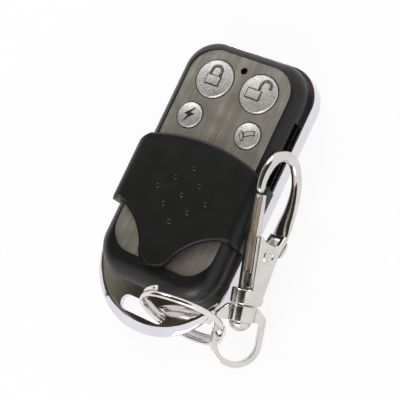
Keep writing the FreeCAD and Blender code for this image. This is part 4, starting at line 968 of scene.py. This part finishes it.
# %% Table
TABLE_SIDE, TABLE_TOP, WHITE_SHARE = 6.0, -0.25 * MM, 0.88
floor = new_object("table_top", sheet(TABLE_SIDE, TABLE_SIDE, (0, 0, TABLE_TOP)))
white = bpy.data.materials.new("white_table")
white.use_nodes = True
tree = white.node_tree
share = add_node(tree, "ShaderNodeMath", [(0, direct_sight(tree)), (1, WHITE_SHARE)],
                 operation="MULTIPLY")
lit = tree.nodes["Principled BSDF"]
lit.inputs["Base Color"].default_value = (0.95, 0.95, 0.95, 1)
lit.inputs["Roughness"].default_value = 0.9
lit.inputs["Specular IOR Level"].default_value = 0.0
glow = add_node(tree, "ShaderNodeEmission", [("Color", (1, 1, 1, 1)), ("Strength", 1.0)])
blend = add_node(tree, "ShaderNodeMixShader",
                 [(0, share.outputs[0]), (1, lit.outputs[0]), (2, glow.outputs[0])])
tree.links.new(blend.outputs[0], tree.nodes["Material Output"].inputs["Surface"])
floor.data.materials.append(white)

# %% World
ROOM_LIGHT = 0.68
world = bpy.data.worlds.new("studio")
bpy.context.scene.world = world
world.use_nodes = True
tree = world.node_tree
sky = tree.nodes["Background"]
sky.inputs["Color"].default_value = (1, 1, 1, 1)
level = add_node(tree, "ShaderNodeMapRange",
                 [("Value", direct_sight(tree)), ("To Min", ROOM_LIGHT), ("To Max", 1.0)])
tree.links.new(level.outputs[0], sky.inputs["Strength"])

# %% [markdown]
# ## Lamps and cards
#
# Two square softboxes, one behind on the left and one in front, give the black plastic
# its soft highlights. Polished metal shows only what stands round it, and in a white room
# it would be white, so a photographer hangs dark cards about it. Here one hangs overhead
# and one on the left. Only mirrors see them, so they take no light from the remote. The
# overhead card has bands of olive and brown, which become the stripes in the plated lip.

# %% Lamps
REMOTE_MIDDLE = Vector((0.0, 0.0, 0.008))


def aim(thing, place):
    """Put a lamp or a card at a place and face it to the remote."""
    place = Vector(place)
    facing = (REMOTE_MIDDLE - place).to_track_quat("-Z", "Y").to_matrix().to_4x4()
    thing.matrix_world = Matrix.Translation(place) @ facing


def add_lamp(name, place, side, watts):
    """A square softbox, aimed at the remote."""
    light = bpy.data.lights.new(name, "AREA")
    light.shape = "SQUARE"
    light.size = side
    light.energy = watts
    lamp = bpy.data.objects.new(name, light)
    bpy.context.scene.collection.objects.link(lamp)
    aim(lamp, place)


add_lamp("key_softbox", (-0.46, 0.46, 0.42), side=0.22, watts=1.7)
add_lamp("front_softbox", (0.20, -0.62, 0.36), side=0.30, watts=1.8)


# %% Cards
def banded_colour(tree, bands):
    """A colour that changes from one x to the next along a card."""
    place = add_node(tree, "ShaderNodeTexCoord").outputs["Object"]
    across = add_node(tree, "ShaderNodeSeparateXYZ", [(0, place)]).outputs["X"]
    first, last = bands[0][0], bands[-1][0]
    share = add_node(tree, "ShaderNodeMapRange",
                     [("Value", across), ("From Min", first), ("From Max", last)])
    ramp = add_node(tree, "ShaderNodeValToRGB", [("Fac", share.outputs[0])])
    steps = ramp.color_ramp.elements
    while len(steps) < len(bands):
        steps.new(0.5)
    for step, (x, colour) in zip(steps, bands):
        step.position = (x - first) / (last - first)
        step.color = (*colour, 1)
    return ramp.outputs["Color"]


def add_card(name, shape, bands):
    """A card that only mirrors see, of one colour or of several bands."""
    paint = bpy.data.materials.new(name)
    paint.use_nodes = True
    tree = paint.node_tree
    colour = banded_colour(tree, bands) if len(bands) > 1 else (*bands[0][1], 1)
    shine = add_node(tree, "ShaderNodeEmission", [("Color", colour), ("Strength", 1.0)])
    tree.links.new(shine.outputs[0], tree.nodes["Material Output"].inputs["Surface"])
    card = new_object(name, shape)
    card.data.materials.append(paint)
    card.visible_camera = False
    card.visible_diffuse = False
    card.visible_shadow = False
    card.visible_transmission = False
    return card


# each band as its place along x, in metres, and its colour
ceiling_bands = [
    (-0.55, (0.075, 0.070, 0.050)), (-0.335, (0.20, 0.185, 0.135)), (-0.305, (0.24, 0.225, 0.165)),
    (-0.280, (0.050, 0.045, 0.030)), (-0.255, (0.030, 0.026, 0.018)),
    (-0.235, (0.085, 0.062, 0.038)), (-0.18, (0.060, 0.050, 0.038)), (0.10, (0.035, 0.026, 0.018)),
    (0.34, (0.060, 0.042, 0.028))]
left_bands = [(0.0, (0.075, 0.068, 0.045))]
add_card("ceiling_card", sheet(width=0.89, depth=0.62, place=(-0.105, 0.04, 0.5)), ceiling_bands)
left_card = add_card("left_card", sheet(width=0.85, depth=0.55), left_bands)
aim(left_card, place=(-0.70, -0.05, 0.44))
